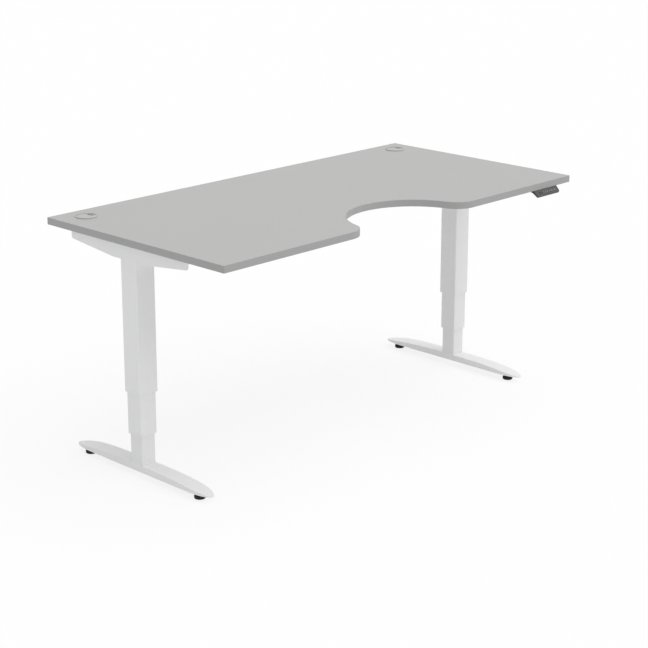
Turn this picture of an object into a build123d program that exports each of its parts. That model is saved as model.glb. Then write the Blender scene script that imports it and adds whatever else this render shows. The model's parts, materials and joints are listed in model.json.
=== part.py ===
from build123d import *
import math
import os

# Height adjustable desk: a recessed worktop on two three-stage lifting columns.
# Millimetres. Z up, origin on the floor under the middle of the worktop,
# +X to the user's right, +Y away from the user.

# ---------------------------------------------------------------- worktop
TOP_WIDTH = 1800.0
TOP_DEPTH = 900.0
TOP_THICKNESS = 25.0
TOP_HEIGHT = 860.0          # upper face above the floor, as drawn
TOP_CORNER_R = 3.0
EDGE_BAND = 2.0             # thickness of the edging strip
EDGE_ROUND = 1.0            # rounded arris of the strip
RECESS_DEPTH = 240.0        # how far the front cut-out reaches in
RECESS_R = 245.0            # radius of the cut-out
SHOULDER_R = 80.0           # radius that leads the front edge into the cut-out

# ---------------------------------------------------------------- cable ports
PORT_FROM_SIDE = 100.0
PORT_FROM_BACK = 90.0
PORT_HOLE_R = 30.0
PORT_SLEEVE_WALL = 1.8
PORT_SLEEVE_FIT = 0.1
PORT_SLEEVE_DROP = 21.0
PORT_FLANGE_R = 37.5
PORT_FLANGE_THICKNESS = 1.0
PORT_RIM_PROUD = 1.2        # the ring's rim above the lid
PORT_RIM_ROUND = 1.2
LID_R = 35.0
LID_THICKNESS = 1.4
LID_PLAY = 0.4
LID_SLOT_WIDTH = 28.0
LID_SLOT_REACH = 21.0       # how far the slot runs in from the rim
LID_SLOT_CORNER_R = 6.0
LID_SLOT_ANGLE = 10.0       # degrees from +X

# ---------------------------------------------------------------- columns
LEG_FROM_SIDE = 71.0        # column axis from the worktop's end
LEG_Y = 55.0
TUBE_WALL = 2.0
TUBE_CORNER_R = 4.0
OUTER_SIDE = 80.0
MIDDLE_SIDE = 70.0
INNER_SIDE = 60.0
OUTER_BOTTOM = 306.0
MIDDLE_BOTTOM = 154.0
STAGE_DOWN = 105.0          # travel of each stage below the drawn height
STAGE_UP = 215.0            # travel of each stage above the drawn height
STACK_GAP = 3.0             # free space above each stage when fully lowered

HEAD_FIT = 0.2              # cast head in its tube, each side
OUTER_HEAD_H = 22.0
MIDDLE_HEAD_H = 26.0
INNER_HEAD_H = 24.0

PAD_LENGTH = 40.0
PAD_WIDTH = 30.0
PAD_FROM_END = 8.0
PAD_PLAY = 0.3

# ---------------------------------------------------------------- spindles and nuts
SPINDLE_R = 8.0
SPINDLE_PLAY = 0.1          # thread of a spindle in its nut
JOURNAL_PLAY = 0.1
SPINDLE_COLLAR_R = 14.0
COLLAR_H = 6.0
COLLAR_PLAY = 0.3
SPINDLE_STUB_R = 7.0        # upper end, inside the gearbox
SPINDLE_STUB_UP = 24.0
DRIVER_FLATS = 17.8         # hexagonal driver on the spindle's lower end
DRIVER_PLAY = 0.1
DRIVER_H = 25.0
HOLLOW_R = 13.0
HOLLOW_COLLAR_R = 17.0
HOLLOW_JOURNAL_H = 5.0
NUT_FIT = 0.05
UPPER_NUT_R = 13.0
UPPER_NUT_H = 20.0
UPPER_NUT_FLANGE_R = 18.0
LOWER_NUT_R = 18.0
LOWER_NUT_H = 22.0
LOWER_NUT_FLANGE_R = 22.0
NUT_FLANGE_H = 4.0

# ---------------------------------------------------------------- side arms
ARM_LENGTH = 600.0
ARM_STEEL = 3.0
ARM_DEPTH_MID = 61.0
ARM_DEPTH_END = 37.0
ARM_FLAT = 160.0            # length of the level stretch over the column
ARM_END_R = 10.0
ARM_NOTCH_WIDTH = 46.0      # notch in the arm's back end that keeps the cable port open
ARM_NOTCH_LENGTH = 30.0
SADDLE_LENGTH = 150.0
SADDLE_STEEL = 6.0
SADDLE_HOLE_R = 17.0

# ---------------------------------------------------------------- drive units
GEARBOX_SIDE = 50.0
GEARBOX_H = 44.0
GEARBOX_ROUND = 5.0
GEARBOX_BEVEL = 2.0
GEARBOX_BORE_PLAY = 0.3
GEARBOX_BORE_END_GAP = 1.0
MOTOR_R = 22.0
MOTOR_LENGTH = 88.0
MOTOR_CAP_R = 19.0
MOTOR_CAP_LENGTH = 14.0
MOTOR_FLANGE_LENGTH = 8.0
MOTOR_FLANGE_STEP = 2.0
MOTOR_CAP_BEVEL = 3.0
MOTOR_OFFSET = 12.0         # motor axis outboard of the spindle axis
MOTOR_RISE = 2.0            # motor axis above the gearbox's middle
MOTOR_FLAT = 19.0           # height of the flats on the motor can
BOLT_SPREAD = 31.0          # column bolts from the spindle axis, both ways

# ---------------------------------------------------------------- cross rails
RAIL_WIDTH = 40.0
RAIL_HEIGHT = 25.0
RAIL_STEEL = 2.0
RAIL_LIP = 8.0
RAIL_SPREAD = 45.0          # rails from the column axis
RAIL_BEND_R = 3.0
END_PLATE_STEEL = 3.0
END_PLATE_WIDTH = 60.0
END_PLATE_HEIGHT = 48.0

# ---------------------------------------------------------------- feet
FOOT_LENGTH = 710.0
FOOT_WIDTH = 60.0
FOOT_UNDERSIDE = 22.0
FOOT_TOP = 46.0
FOOT_LIP = 2.5              # thickness left at the tips
FOOT_END = 95.0             # length of each rounded end in plan
FOOT_ARCH_POWER = 3.2       # how late the top falls away towards the tips
FOOT_WALL = 4.0
FOOT_TIP_WALL = 15.0        # solid length at each tip
FOOT_RIB = 3.0
FOOT_RIB_PITCH = 52.0
FOOT_HUB = 76.0             # solid length under the column
FOOT_BOSS_R = 11.0
GLIDE_SPREAD = 290.0        # glides from the column axis
BASE_PLATE_H = 6.0          # plate welded in the lower end of the inner tube

# ---------------------------------------------------------------- levelling glides
GLIDE_R = 20.0
GLIDE_DISC_H = 14.0
GLIDE_ROUND = 4.0
GLIDE_TOP_R = 17.0
GLIDE_BEVEL_H = 4.7
GLIDE_STEM_R = 4.0
GLIDE_STEM_PLAY = 0.1
GLIDE_TRAVEL = 5.0
GLIDE_GRIP = 5.0            # thread left in the boss when fully screwed out
GLIDE_HOLE_END_GAP = 0.5
GLIDE_NUT_FLATS = 13.0

# ---------------------------------------------------------------- fasteners
WOOD_SCREW_R = 1.75
WOOD_SCREW_BITE = 15.0      # how far a wood screw enters the worktop
WOOD_HEAD_R = 4.0
WOOD_HEAD_H = 2.8
WOOD_HEAD_ROUND = 1.7
WOOD_KEY_FLATS = 3.0
WOOD_KEY_DEPTH = 1.4
SCREW_FIT = 0.05
COLUMN_BOLT_R = 3.0
COLUMN_BOLT_BITE = 16.0
COLUMN_BOLT_HEAD_R = 5.0
COLUMN_BOLT_HEAD_H = 6.0
RAIL_BOLT_R = 4.0
RAIL_BOLT_HEAD_H = 4.5
RAIL_BOLT_FLATS = 13.0
RAIL_BOLT_SPREAD = 23.0     # bolts in front of and behind the rail's middle
RAIL_BOLT_DROP = 38.0       # bolts below the worktop
FOOT_BOLT_R = 4.0
FOOT_BOLT_SPREAD = 20.0
FOOT_BOLT_HEAD_R = 6.5
FOOT_BOLT_HEAD_H = 8.0
FOOT_BOLT_SUNK = 0.5
HEX_KEY_FLATS = 4.0
HEX_KEY_DEPTH = 2.0

# ---------------------------------------------------------------- control box
BOX_X = -200.0
BOX_Y = 212.0
BOX_WIDTH = 260.0
BOX_DEPTH = 92.0
BOX_HEIGHT = 34.0
BOX_ROUND = 4.0
BOX_EAR = 14.0
BOX_EAR_H = 4.0
BOX_EAR_WIDTH = 64.0
BOX_BEVEL = 2.0
BOX_SCREW_SPREAD = 23.0
SOCKET_STRIP_DEPTH = 12.0
SOCKET_STRIP_WIDTH = 236.0
SOCKET_STRIP_HEIGHT = 26.0
INLET_WIDTH = 25.0
INLET_HEIGHT = 17.0
SOCKET_WIDTH = 16.0
SOCKET_HEIGHT = 12.0
SOCKET_COUNT = 5
SOCKET_PITCH = 34.0
INLET_FROM_END = 22.0
SOCKET_FROM_INLET = 46.0

# ---------------------------------------------------------------- handset
HANDSET_FROM_SIDE = 156.0   # middle of the handset from the worktop's end
HANDSET_WIDTH = 139.0
HANDSET_BACK = 66.0         # how far it runs back under the worktop
HANDSET_REACH = 20.0        # how far it stands out in front of the edge
HANDSET_DROP = 21.0         # height of the sloping face
HANDSET_NOSE = 2.4
HANDSET_THROAT = 10.0       # thickness where it passes under the edge
HANDSET_THROAT_RUN = 15.0   # how far behind the edge it thins to the tail
HANDSET_TAIL = 5.0          # thickness of the level tail that is screwed up
HANDSET_TAIL_LENGTH = 22.0
HANDSET_SCREW_SPREAD = 44.0
HANDSET_LEFT_BEVEL = (5.0, 5.0)     # front corners cut off, along X and Y
HANDSET_RIGHT_BEVEL = (13.5, 5.0)
PANEL_MARGIN = 3.5
PANEL_END_MARGIN = 10.0
PANEL_THICKNESS = 1.4
PANEL_FIT = 0.1
KEY_PROUD = 0.8
KEY_PLAY = 0.35
KEY_FLANGE = 0.8
KEY_FLANGE_H = 0.7
KEY_TRAVEL = 0.8
KEY_MAT_GAP = 1.1           # room for the contact mat under a pressed key
KEY_HEIGHT = 9.0
KEY_ROUND = 2.0
LIFT_KEY_WIDTH = 14.0
PRESET_KEY_WIDTH = 8.5
KEY_GAP = 3.2
PRESET_COUNT = 4
WINDOW_WIDTH = 22.0
WINDOW_HEIGHT = 12.0
WINDOW_FROM_END = 7.0
KEYS_FROM_END = 7.0

# ---------------------------------------------------------------- derived places
TOP_UNDERSIDE = TOP_HEIGHT - TOP_THICKNESS
FRONT_EDGE = -TOP_DEPTH / 2
PORT_X = TOP_WIDTH / 2 - PORT_FROM_SIDE
LID_SEAT = TOP_HEIGHT + PORT_FLANGE_THICKNESS
PORT_Y = TOP_DEPTH / 2 - PORT_FROM_BACK
LEG_X = TOP_WIDTH / 2 - LEG_FROM_SIDE
HANDSET_X = TOP_WIDTH / 2 - HANDSET_FROM_SIDE

ARM_UNDERSIDE = TOP_UNDERSIDE - ARM_DEPTH_MID
ARM_WEB_UNDERSIDE = TOP_UNDERSIDE - ARM_STEEL
SADDLE_TOP = ARM_UNDERSIDE + SADDLE_STEEL
OUTER_TOP = ARM_UNDERSIDE
OUTER_HEAD_BOTTOM = OUTER_TOP - OUTER_HEAD_H

MIDDLE_TOP = OUTER_HEAD_BOTTOM - COLLAR_PLAY - COLLAR_H - NUT_FLANGE_H - STACK_GAP - STAGE_DOWN
MIDDLE_HEAD_BOTTOM = MIDDLE_TOP - MIDDLE_HEAD_H
INNER_TOP = MIDDLE_HEAD_BOTTOM - COLLAR_PLAY - COLLAR_H - NUT_FLANGE_H - STACK_GAP - STAGE_DOWN
INNER_HEAD_BOTTOM = INNER_TOP - INNER_HEAD_H

# At full height each driver and thread must still be held by its mate.
SPINDLE_END = MIDDLE_HEAD_BOTTOM + HOLLOW_JOURNAL_H - DRIVER_H - STACK_GAP - STAGE_UP
HOLLOW_END = INNER_TOP - LOWER_NUT_H - STACK_GAP - STAGE_UP

MOTOR_Z = SADDLE_TOP + GEARBOX_H / 2 + MOTOR_RISE
ARM_INNER_FACE = LEG_X - OUTER_SIDE / 2
RAIL_END = ARM_INNER_FACE - END_PLATE_STEEL
GLIDE_STEM_TOP = FOOT_UNDERSIDE + GLIDE_TRAVEL + GLIDE_GRIP
FOOT_BOLT_BOTTOM = FOOT_UNDERSIDE + FOOT_BOLT_SUNK
FOOT_BOLT_SEAT = FOOT_BOLT_BOTTOM + FOOT_BOLT_HEAD_H

ARM_SCREW_OFFSETS = (90.0, 185.0, 280.0)
RAIL_SCREW_OFFSETS = (220.0, 620.0)
SIDES = {"left": -1, "right": 1}
ENDS = {"front": -1, "back": 1}


# ---------------------------------------------------------------- building blocks
def block(x_min, x_max, y_min, y_max, z_min, z_max):
    """A plain block between two corners."""
    middle = Pos((x_min + x_max) / 2, (y_min + y_max) / 2, (z_min + z_max) / 2)
    return middle * Box(x_max - x_min, y_max - y_min, z_max - z_min)


def rod(x, y, z_min, z_max, radius):
    """An upright cylinder between two heights."""
    return Pos(x, y, (z_min + z_max) / 2) * Cylinder(radius, z_max - z_min)


def rod_along_x(x_min, x_max, y, z, radius):
    """A cylinder lying along X."""
    return Pos((x_min + x_max) / 2, y, z) * Rot(0, 90, 0) * Cylinder(radius, x_max - x_min)


def hexagon(x, y, z_min, z_max, flats):
    """An upright hexagonal prism, measured across its flats."""
    outline = RegularPolygon(flats / 2, 6, major_radius=False)
    return Pos(x, y, z_min) * extrude(outline, z_max - z_min)


def rounded_block(width, depth, z_min, z_max, corner):
    """An upright block about the Z axis with rounded corners."""
    return Pos(0, 0, z_min) * extrude(RectangleRounded(width, depth, corner), z_max - z_min)


def square_tube(side, z_min, z_max):
    """A square tube about the Z axis."""
    bore = side - 2 * TUBE_WALL
    outside = rounded_block(side, side, z_min, z_max, TUBE_CORNER_R)
    return outside - rounded_block(bore, bore, z_min, z_max, TUBE_CORNER_R - TUBE_WALL)


def four_corners(spread):
    """The four places at plus and minus one distance."""
    return [(x * spread, y * spread) for x in (-1, 1) for y in (-1, 1)]


def at_leg(side, piece):
    """Moves a piece from the Z axis to a column."""
    return Pos(SIDES[side] * LEG_X, LEG_Y, 0) * piece


# ---------------------------------------------------------------- worktop
def desk_outline(inset):
    """The worktop's outline, moved inwards by the inset."""
    front = FRONT_EDGE + inset
    centre_y = FRONT_EDGE + RECESS_DEPTH - RECESS_R
    radius = RECESS_R + inset
    board = RectangleRounded(TOP_WIDTH - 2 * inset, TOP_DEPTH - 2 * inset, TOP_CORNER_R - inset)
    board -= Pos(0, centre_y) * Circle(radius)
    shoulders = [
        vertex
        for vertex in board.vertices()
        if abs(vertex.Y - front) < 0.01 and abs(vertex.X) < radius + 1
    ]
    return fillet(shoulders, SHOULDER_R - inset)


def port_centres():
    """The cable ports' middles, left then right."""
    return [(side * PORT_X, PORT_Y) for side in SIDES.values()]


def arm_screw_centres():
    """Wood screws through the side arms."""
    offsets = [end * offset for end in ENDS.values() for offset in ARM_SCREW_OFFSETS]
    return [(side * LEG_X, LEG_Y + offset) for side in SIDES.values() for offset in offsets]


def rail_screw_centres():
    """Wood screws through the cross rails."""
    rows = [LEG_Y + end * RAIL_SPREAD for end in ENDS.values()]
    places = [side * offset for side in SIDES.values() for offset in RAIL_SCREW_OFFSETS]
    return [(x, y) for y in rows for x in places]


def box_screw_centres():
    """Wood screws through the control box's ears."""
    reach = BOX_WIDTH / 2 + BOX_EAR / 2
    return [
        (BOX_X + x * reach, BOX_Y + y * BOX_SCREW_SPREAD)
        for x in (-1, 1)
        for y in (-1, 1)
    ]


def handset_screw_centres():
    """Wood screws through the handset's tail."""
    y = FRONT_EDGE + HANDSET_BACK - HANDSET_TAIL_LENGTH / 2
    return [(HANDSET_X + side * HANDSET_SCREW_SPREAD, y) for side in SIDES.values()]


def desktop():
    """The board, without its edging strip."""
    outline = desk_outline(EDGE_BAND)
    for x, y in port_centres():
        outline -= Pos(x, y) * Circle(PORT_HOLE_R)
    board = Pos(0, 0, TOP_UNDERSIDE) * extrude(outline, TOP_THICKNESS)
    bored = arm_screw_centres() + rail_screw_centres()
    bored += box_screw_centres() + handset_screw_centres()
    for x, y in bored:
        board -= rod(x, y, TOP_UNDERSIDE, TOP_UNDERSIDE + WOOD_SCREW_BITE, WOOD_SCREW_R + SCREW_FIT)
    return board


def edge_band():
    """The edging strip round the whole outline, with rounded arrises."""
    strip = desk_outline(0) - desk_outline(EDGE_BAND)
    band = Pos(0, 0, TOP_UNDERSIDE) * extrude(strip, TOP_THICKNESS)
    faces = band.faces().sort_by(Axis.Z)
    arrises = faces[0].outer_wire().edges() + faces[-1].outer_wire().edges()
    return fillet(arrises, EDGE_ROUND)


# ---------------------------------------------------------------- cable ports
def port_ring():
    """A flanged sleeve; its raised rim holds the lid in the middle of the flange."""
    sleeve_r = PORT_HOLE_R - PORT_SLEEVE_FIT
    sleeve_end = TOP_HEIGHT - PORT_SLEEVE_DROP
    rim_top = LID_SEAT + LID_THICKNESS + PORT_RIM_PROUD
    flange = rod(0, 0, TOP_HEIGHT, rim_top, PORT_FLANGE_R)
    flange = fillet(flange.edges().sort_by(Axis.Z)[-1], PORT_RIM_ROUND)
    ring = flange + rod(0, 0, sleeve_end, TOP_HEIGHT, sleeve_r)
    ring -= rod(0, 0, sleeve_end, rim_top, sleeve_r - PORT_SLEEVE_WALL)
    return ring - rod(0, 0, LID_SEAT, rim_top, LID_R + LID_PLAY)


def port_lid():
    """A turning lid with a cable slot in its rim."""
    lid = rod(0, 0, LID_SEAT, LID_SEAT + LID_THICKNESS, LID_R)
    slot = RectangleRounded(2 * LID_SLOT_REACH, LID_SLOT_WIDTH, LID_SLOT_CORNER_R)
    lid -= Pos(LID_R, 0, LID_SEAT) * extrude(slot, LID_THICKNESS)
    return Rot(0, 0, LID_SLOT_ANGLE) * lid


# ---------------------------------------------------------------- side arms
def arm_profile():
    """The arm's side view in the YZ plane: level over the column, rising to the ends."""
    half = ARM_LENGTH / 2
    flat = ARM_FLAT / 2
    end_z = TOP_UNDERSIDE - ARM_DEPTH_END
    outline = Polyline(
        (-half, TOP_UNDERSIDE),
        (-half, end_z),
        (-flat, ARM_UNDERSIDE),
        (flat, ARM_UNDERSIDE),
        (half, end_z),
        (half, TOP_UNDERSIDE),
        close=True,
    )
    profile = make_face(Plane.YZ * outline)
    lower_ends = [vertex for vertex in profile.vertices() if abs(vertex.Z - end_z) < 0.01]
    return fillet(lower_ends, ARM_END_R)


def side_arm(side):
    """A pressed channel, open below, with the saddle that bolts to the column."""
    arm = extrude(arm_profile(), OUTER_SIDE / 2, both=True)
    inside = OUTER_SIDE / 2 - ARM_STEEL
    half = ARM_LENGTH / 2
    arm -= block(-inside, inside, -half, half, ARM_UNDERSIDE, ARM_WEB_UNDERSIDE)
    reach = SADDLE_LENGTH / 2
    arm += block(-inside, inside, -reach, reach, ARM_UNDERSIDE, SADDLE_TOP)
    arm -= rod(0, 0, ARM_UNDERSIDE, SADDLE_TOP, SADDLE_HOLE_R)
    for x, y in four_corners(BOLT_SPREAD):
        arm -= rod(x, y, ARM_UNDERSIDE, SADDLE_TOP, COLUMN_BOLT_R + SCREW_FIT)
    for offset in ARM_SCREW_OFFSETS:
        for end in ENDS.values():
            hole = rod(0, end * offset, ARM_WEB_UNDERSIDE, TOP_UNDERSIDE, WOOD_SCREW_R + SCREW_FIT)
            arm -= hole
    inner_wall = sorted((-SIDES[side] * inside, -SIDES[side] * OUTER_SIDE / 2))
    for y, z in rail_bolt_centres():
        arm -= rod_along_x(inner_wall[0], inner_wall[1], y - LEG_Y, z, RAIL_BOLT_R + SCREW_FIT)
    edge = OUTER_SIDE / 2 - ARM_NOTCH_WIDTH
    notch = sorted((-SIDES[side] * OUTER_SIDE / 2, -SIDES[side] * edge))
    arm -= block(notch[0], notch[1], half - ARM_NOTCH_LENGTH, half, ARM_UNDERSIDE, TOP_UNDERSIDE)
    return at_leg(side, arm)


# ---------------------------------------------------------------- columns
def tube_head(side, z_min, z_max, bore_r):
    """A cast block that fills the end of a tube and holds a nut or a bearing."""
    width = side - 2 * TUBE_WALL - 2 * HEAD_FIT
    corner = TUBE_CORNER_R - TUBE_WALL
    return rounded_block(width, width, z_min, z_max, corner) - rod(0, 0, z_min, z_max, bore_r)


def outer_head():
    """The outer tube's head, with the spindle's bearing and the column bolts' threads."""
    head = tube_head(OUTER_SIDE, OUTER_HEAD_BOTTOM, OUTER_TOP, SPINDLE_R + JOURNAL_PLAY)
    for x, y in four_corners(BOLT_SPREAD):
        head -= rod(x, y, OUTER_TOP - COLUMN_BOLT_BITE, OUTER_TOP, COLUMN_BOLT_R + SCREW_FIT)
    return head


def middle_head():
    """The middle tube's head: upper nut above, hollow spindle's bearing below."""
    return tube_head(MIDDLE_SIDE, MIDDLE_HEAD_BOTTOM, MIDDLE_TOP, HOLLOW_R + JOURNAL_PLAY)


def upper_nut():
    """The flanged nut that climbs the spindle with the middle tube."""
    nut = rod(0, 0, MIDDLE_TOP - UPPER_NUT_H, MIDDLE_TOP, UPPER_NUT_R)
    nut += rod(0, 0, MIDDLE_TOP, MIDDLE_TOP + NUT_FLANGE_H, UPPER_NUT_FLANGE_R)
    return nut - rod(0, 0, MIDDLE_TOP - UPPER_NUT_H, MIDDLE_TOP + NUT_FLANGE_H, SPINDLE_R + SPINDLE_PLAY)


def inner_head():
    """The inner tube's head, which holds the lower nut."""
    return tube_head(INNER_SIDE, INNER_HEAD_BOTTOM, INNER_TOP, LOWER_NUT_R + NUT_FIT)


def lower_nut():
    """The flanged nut that the hollow spindle turns in."""
    nut = rod(0, 0, INNER_TOP - LOWER_NUT_H, INNER_TOP, LOWER_NUT_R)
    nut += rod(0, 0, INNER_TOP, INNER_TOP + NUT_FLANGE_H, LOWER_NUT_FLANGE_R)
    return nut - rod(0, 0, INNER_TOP - LOWER_NUT_H, INNER_TOP + NUT_FLANGE_H, HOLLOW_R + SPINDLE_PLAY)


def spindle():
    """The solid spindle: gearbox stub, journal, thrust collar, thread and driver."""
    collar_top = OUTER_HEAD_BOTTOM - COLLAR_PLAY
    piece = rod(0, 0, SPINDLE_END + DRIVER_H, SADDLE_TOP, SPINDLE_R)
    piece += rod(0, 0, SADDLE_TOP, SADDLE_TOP + SPINDLE_STUB_UP, SPINDLE_STUB_R)
    piece += rod(0, 0, collar_top - COLLAR_H, collar_top, SPINDLE_COLLAR_R)
    return piece + hexagon(0, 0, SPINDLE_END, SPINDLE_END + DRIVER_H, DRIVER_FLATS)


def hollow_spindle():
    """The hollow spindle: threaded outside, hexagonal bore for the driver."""
    collar_top = MIDDLE_HEAD_BOTTOM - COLLAR_PLAY
    journal_top = MIDDLE_HEAD_BOTTOM + HOLLOW_JOURNAL_H
    piece = rod(0, 0, HOLLOW_END, journal_top, HOLLOW_R)
    piece += rod(0, 0, collar_top - COLLAR_H, collar_top, HOLLOW_COLLAR_R)
    return piece - hexagon(0, 0, HOLLOW_END, journal_top, DRIVER_FLATS + 2 * DRIVER_PLAY)


def pads(z_min, seat, thickness):
    """Four slide pads round a column: seat is the wall they lie on, thickness its sign."""
    near, far = sorted((seat, seat + thickness))
    half = PAD_WIDTH / 2
    pad = block(near, far, -half, half, z_min, z_min + PAD_LENGTH)
    return [Rot(0, 0, quarter * 90) * pad for quarter in range(4)]


def lower_pads(outer_side, inner_side, tube_bottom):
    """Pads inside the mouth of a tube, bearing on the tube inside it."""
    gap = (outer_side - inner_side) / 2 - TUBE_WALL - PAD_PLAY
    return pads(tube_bottom + PAD_FROM_END, outer_side / 2 - TUBE_WALL, -gap)


def upper_pads(outer_side, inner_side, tube_top):
    """Pads outside the top of a tube, bearing on the tube around it."""
    gap = (outer_side - inner_side) / 2 - TUBE_WALL - PAD_PLAY
    return pads(tube_top - PAD_FROM_END - PAD_LENGTH, inner_side / 2, gap)


def inner_tube():
    """The inner tube with the tapped plate that the foot bolts to."""
    tube = square_tube(INNER_SIDE, FOOT_TOP, INNER_TOP)
    bore = INNER_SIDE - 2 * TUBE_WALL
    plate = rounded_block(bore, bore, FOOT_TOP, FOOT_TOP + BASE_PLATE_H, TUBE_CORNER_R - TUBE_WALL)
    tube += plate
    for x, y in four_corners(FOOT_BOLT_SPREAD):
        tube -= rod(x, y, FOOT_TOP, FOOT_TOP + BASE_PLATE_H, FOOT_BOLT_R + SCREW_FIT)
    return tube


# ---------------------------------------------------------------- drive units
def gearbox():
    """The worm gear housing on the saddle."""
    top = SADDLE_TOP + GEARBOX_H
    housing = rounded_block(GEARBOX_SIDE, GEARBOX_SIDE, SADDLE_TOP, top, GEARBOX_ROUND)
    housing = chamfer(housing.faces().sort_by(Axis.Z)[-1].edges(), GEARBOX_BEVEL)
    bore_r = SPINDLE_STUB_R + GEARBOX_BORE_PLAY
    bore_top = SADDLE_TOP + SPINDLE_STUB_UP + GEARBOX_BORE_END_GAP
    return housing - rod(0, 0, SADDLE_TOP, bore_top, bore_r)


def motor(side):
    """The motor behind the gearbox: flange, flattened can and end cap."""
    start = GEARBOX_SIDE / 2
    can_start = start + MOTOR_FLANGE_LENGTH
    can_end = can_start + MOTOR_LENGTH
    end = can_end + MOTOR_CAP_LENGTH
    profile = Polyline(
        (0, start),
        (MOTOR_R - MOTOR_FLANGE_STEP, start),
        (MOTOR_R - MOTOR_FLANGE_STEP, can_start),
        (MOTOR_R, can_start),
        (MOTOR_R, can_end),
        (MOTOR_CAP_R, can_end),
        (MOTOR_CAP_R, end - MOTOR_CAP_BEVEL),
        (MOTOR_CAP_R - MOTOR_CAP_BEVEL, end),
        (0, end),
        close=True,
    )
    can = revolve(make_face(profile), Axis.Y)
    slab = block(-MOTOR_R, MOTOR_R, start, end, -MOTOR_FLAT, MOTOR_FLAT)
    return at_leg(side, Pos(SIDES[side] * MOTOR_OFFSET, 0, MOTOR_Z) * (can & slab))


# ---------------------------------------------------------------- cross rails
def rail_bolt_centres():
    """Bolts that hold the rails to the arms, as Y and Z."""
    rows = [LEG_Y + end * RAIL_SPREAD for end in ENDS.values()]
    z = TOP_UNDERSIDE - RAIL_BOLT_DROP
    return [(row + step * RAIL_BOLT_SPREAD, z) for row in rows for step in (-1, 1)]


def cross_rail(end):
    """A lipped channel, open below, with a bolting plate at each end."""
    row = LEG_Y + ENDS[end] * RAIL_SPREAD
    half = RAIL_WIDTH / 2
    hollow_width = RAIL_WIDTH - 2 * RAIL_STEEL
    hollow_height = RAIL_HEIGHT - 2 * RAIL_STEEL
    shell = RectangleRounded(RAIL_WIDTH, RAIL_HEIGHT, RAIL_BEND_R)
    shell -= RectangleRounded(hollow_width, hollow_height, RAIL_BEND_R - RAIL_STEEL)
    shell -= Pos(0, -RAIL_HEIGHT / 2) * Rectangle(RAIL_WIDTH - 2 * RAIL_LIP, 2 * RAIL_BEND_R)
    section = Plane.YZ * Pos(row, TOP_UNDERSIDE - RAIL_HEIGHT / 2) * shell
    rail = extrude(section, RAIL_END, both=True)
    plate_bottom = TOP_UNDERSIDE - END_PLATE_HEIGHT
    for side in SIDES.values():
        low, high = sorted((side * RAIL_END, side * ARM_INNER_FACE))
        reach = END_PLATE_WIDTH / 2
        rail += block(low, high, row - reach, row + reach, plate_bottom, TOP_UNDERSIDE)
        for y, z in rail_bolt_centres():
            if abs(y - row) < reach:
                rail -= rod_along_x(low, high, y, z, RAIL_BOLT_R + SCREW_FIT)
    for x, y in rail_screw_centres():
        if abs(y - row) < half:
            rail -= rod(x, y, TOP_UNDERSIDE - RAIL_STEEL, TOP_UNDERSIDE, WOOD_SCREW_R + SCREW_FIT)
    return rail


# ---------------------------------------------------------------- feet
def foot_side(top, half):
    """A side view in the YZ plane: arched, level in the middle and falling fast at the tips."""
    steps = 12
    fall = top - FOOT_UNDERSIDE - FOOT_LIP
    places = [2 * step / steps - 1 for step in range(steps + 1)]
    crest = [(half * place, top - fall * abs(place) ** FOOT_ARCH_POWER) for place in places]
    walls = Polyline(crest[-1], (half, FOOT_UNDERSIDE), (-half, FOOT_UNDERSIDE), crest[0])
    return make_face(Plane.YZ * (Spline(*crest) + walls))


def foot_plan(inset):
    """The foot's plan: straight sides and long rounded ends."""
    end = FOOT_END - inset
    half = FOOT_WIDTH / 2 - inset
    shoulder = FOOT_LENGTH / 2 - FOOT_END
    middle = Rectangle(2 * half, 2 * shoulder)
    cap = Ellipse(half, end)
    return middle + Pos(0, shoulder) * cap + Pos(0, -shoulder) * cap


def foot_ribs():
    """Everything that stays solid inside the foot: hub, cross ribs, spine and bosses."""
    half = FOOT_LENGTH / 2
    width = FOOT_WIDTH / 2
    ribs = block(-width, width, -FOOT_HUB / 2, FOOT_HUB / 2, FOOT_UNDERSIDE, FOOT_TOP)
    ribs += block(-FOOT_RIB / 2, FOOT_RIB / 2, -half, half, FOOT_UNDERSIDE, FOOT_TOP)
    count = int((GLIDE_SPREAD - FOOT_HUB / 2) / FOOT_RIB_PITCH)
    for end in ENDS.values():
        ribs += rod(0, end * GLIDE_SPREAD, FOOT_UNDERSIDE, FOOT_TOP, FOOT_BOSS_R)
        for number in range(1, count + 1):
            y = end * (FOOT_HUB / 2 + number * FOOT_RIB_PITCH)
            ribs += block(-width, width, y - FOOT_RIB / 2, y + FOOT_RIB / 2, FOOT_UNDERSIDE, FOOT_TOP)
    return ribs


def foot():
    """A cast foot: arched top, open ribbed underside, bosses for the glides."""
    height = FOOT_TOP - FOOT_UNDERSIDE
    half = FOOT_LENGTH / 2
    body = extrude(foot_side(FOOT_TOP, half), FOOT_WIDTH / 2, both=True)
    body &= Pos(0, 0, FOOT_UNDERSIDE) * extrude(foot_plan(0), height)
    hollow = extrude(foot_side(FOOT_TOP - FOOT_WALL, half - FOOT_TIP_WALL), FOOT_WIDTH / 2, both=True)
    hollow &= Pos(0, 0, FOOT_UNDERSIDE) * extrude(foot_plan(FOOT_WALL), height)
    body -= hollow - foot_ribs()
    hole_top = GLIDE_STEM_TOP + GLIDE_HOLE_END_GAP
    for end in ENDS.values():
        body -= rod(0, end * GLIDE_SPREAD, FOOT_UNDERSIDE, hole_top, GLIDE_STEM_R + GLIDE_STEM_PLAY)
    for x, y in four_corners(FOOT_BOLT_SPREAD):
        body -= rod(x, y, FOOT_BOLT_SEAT, FOOT_TOP, FOOT_BOLT_R + SCREW_FIT)
        body -= rod(x, y, FOOT_UNDERSIDE, FOOT_BOLT_SEAT, FOOT_BOLT_HEAD_R + SCREW_FIT)
    return body


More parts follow.
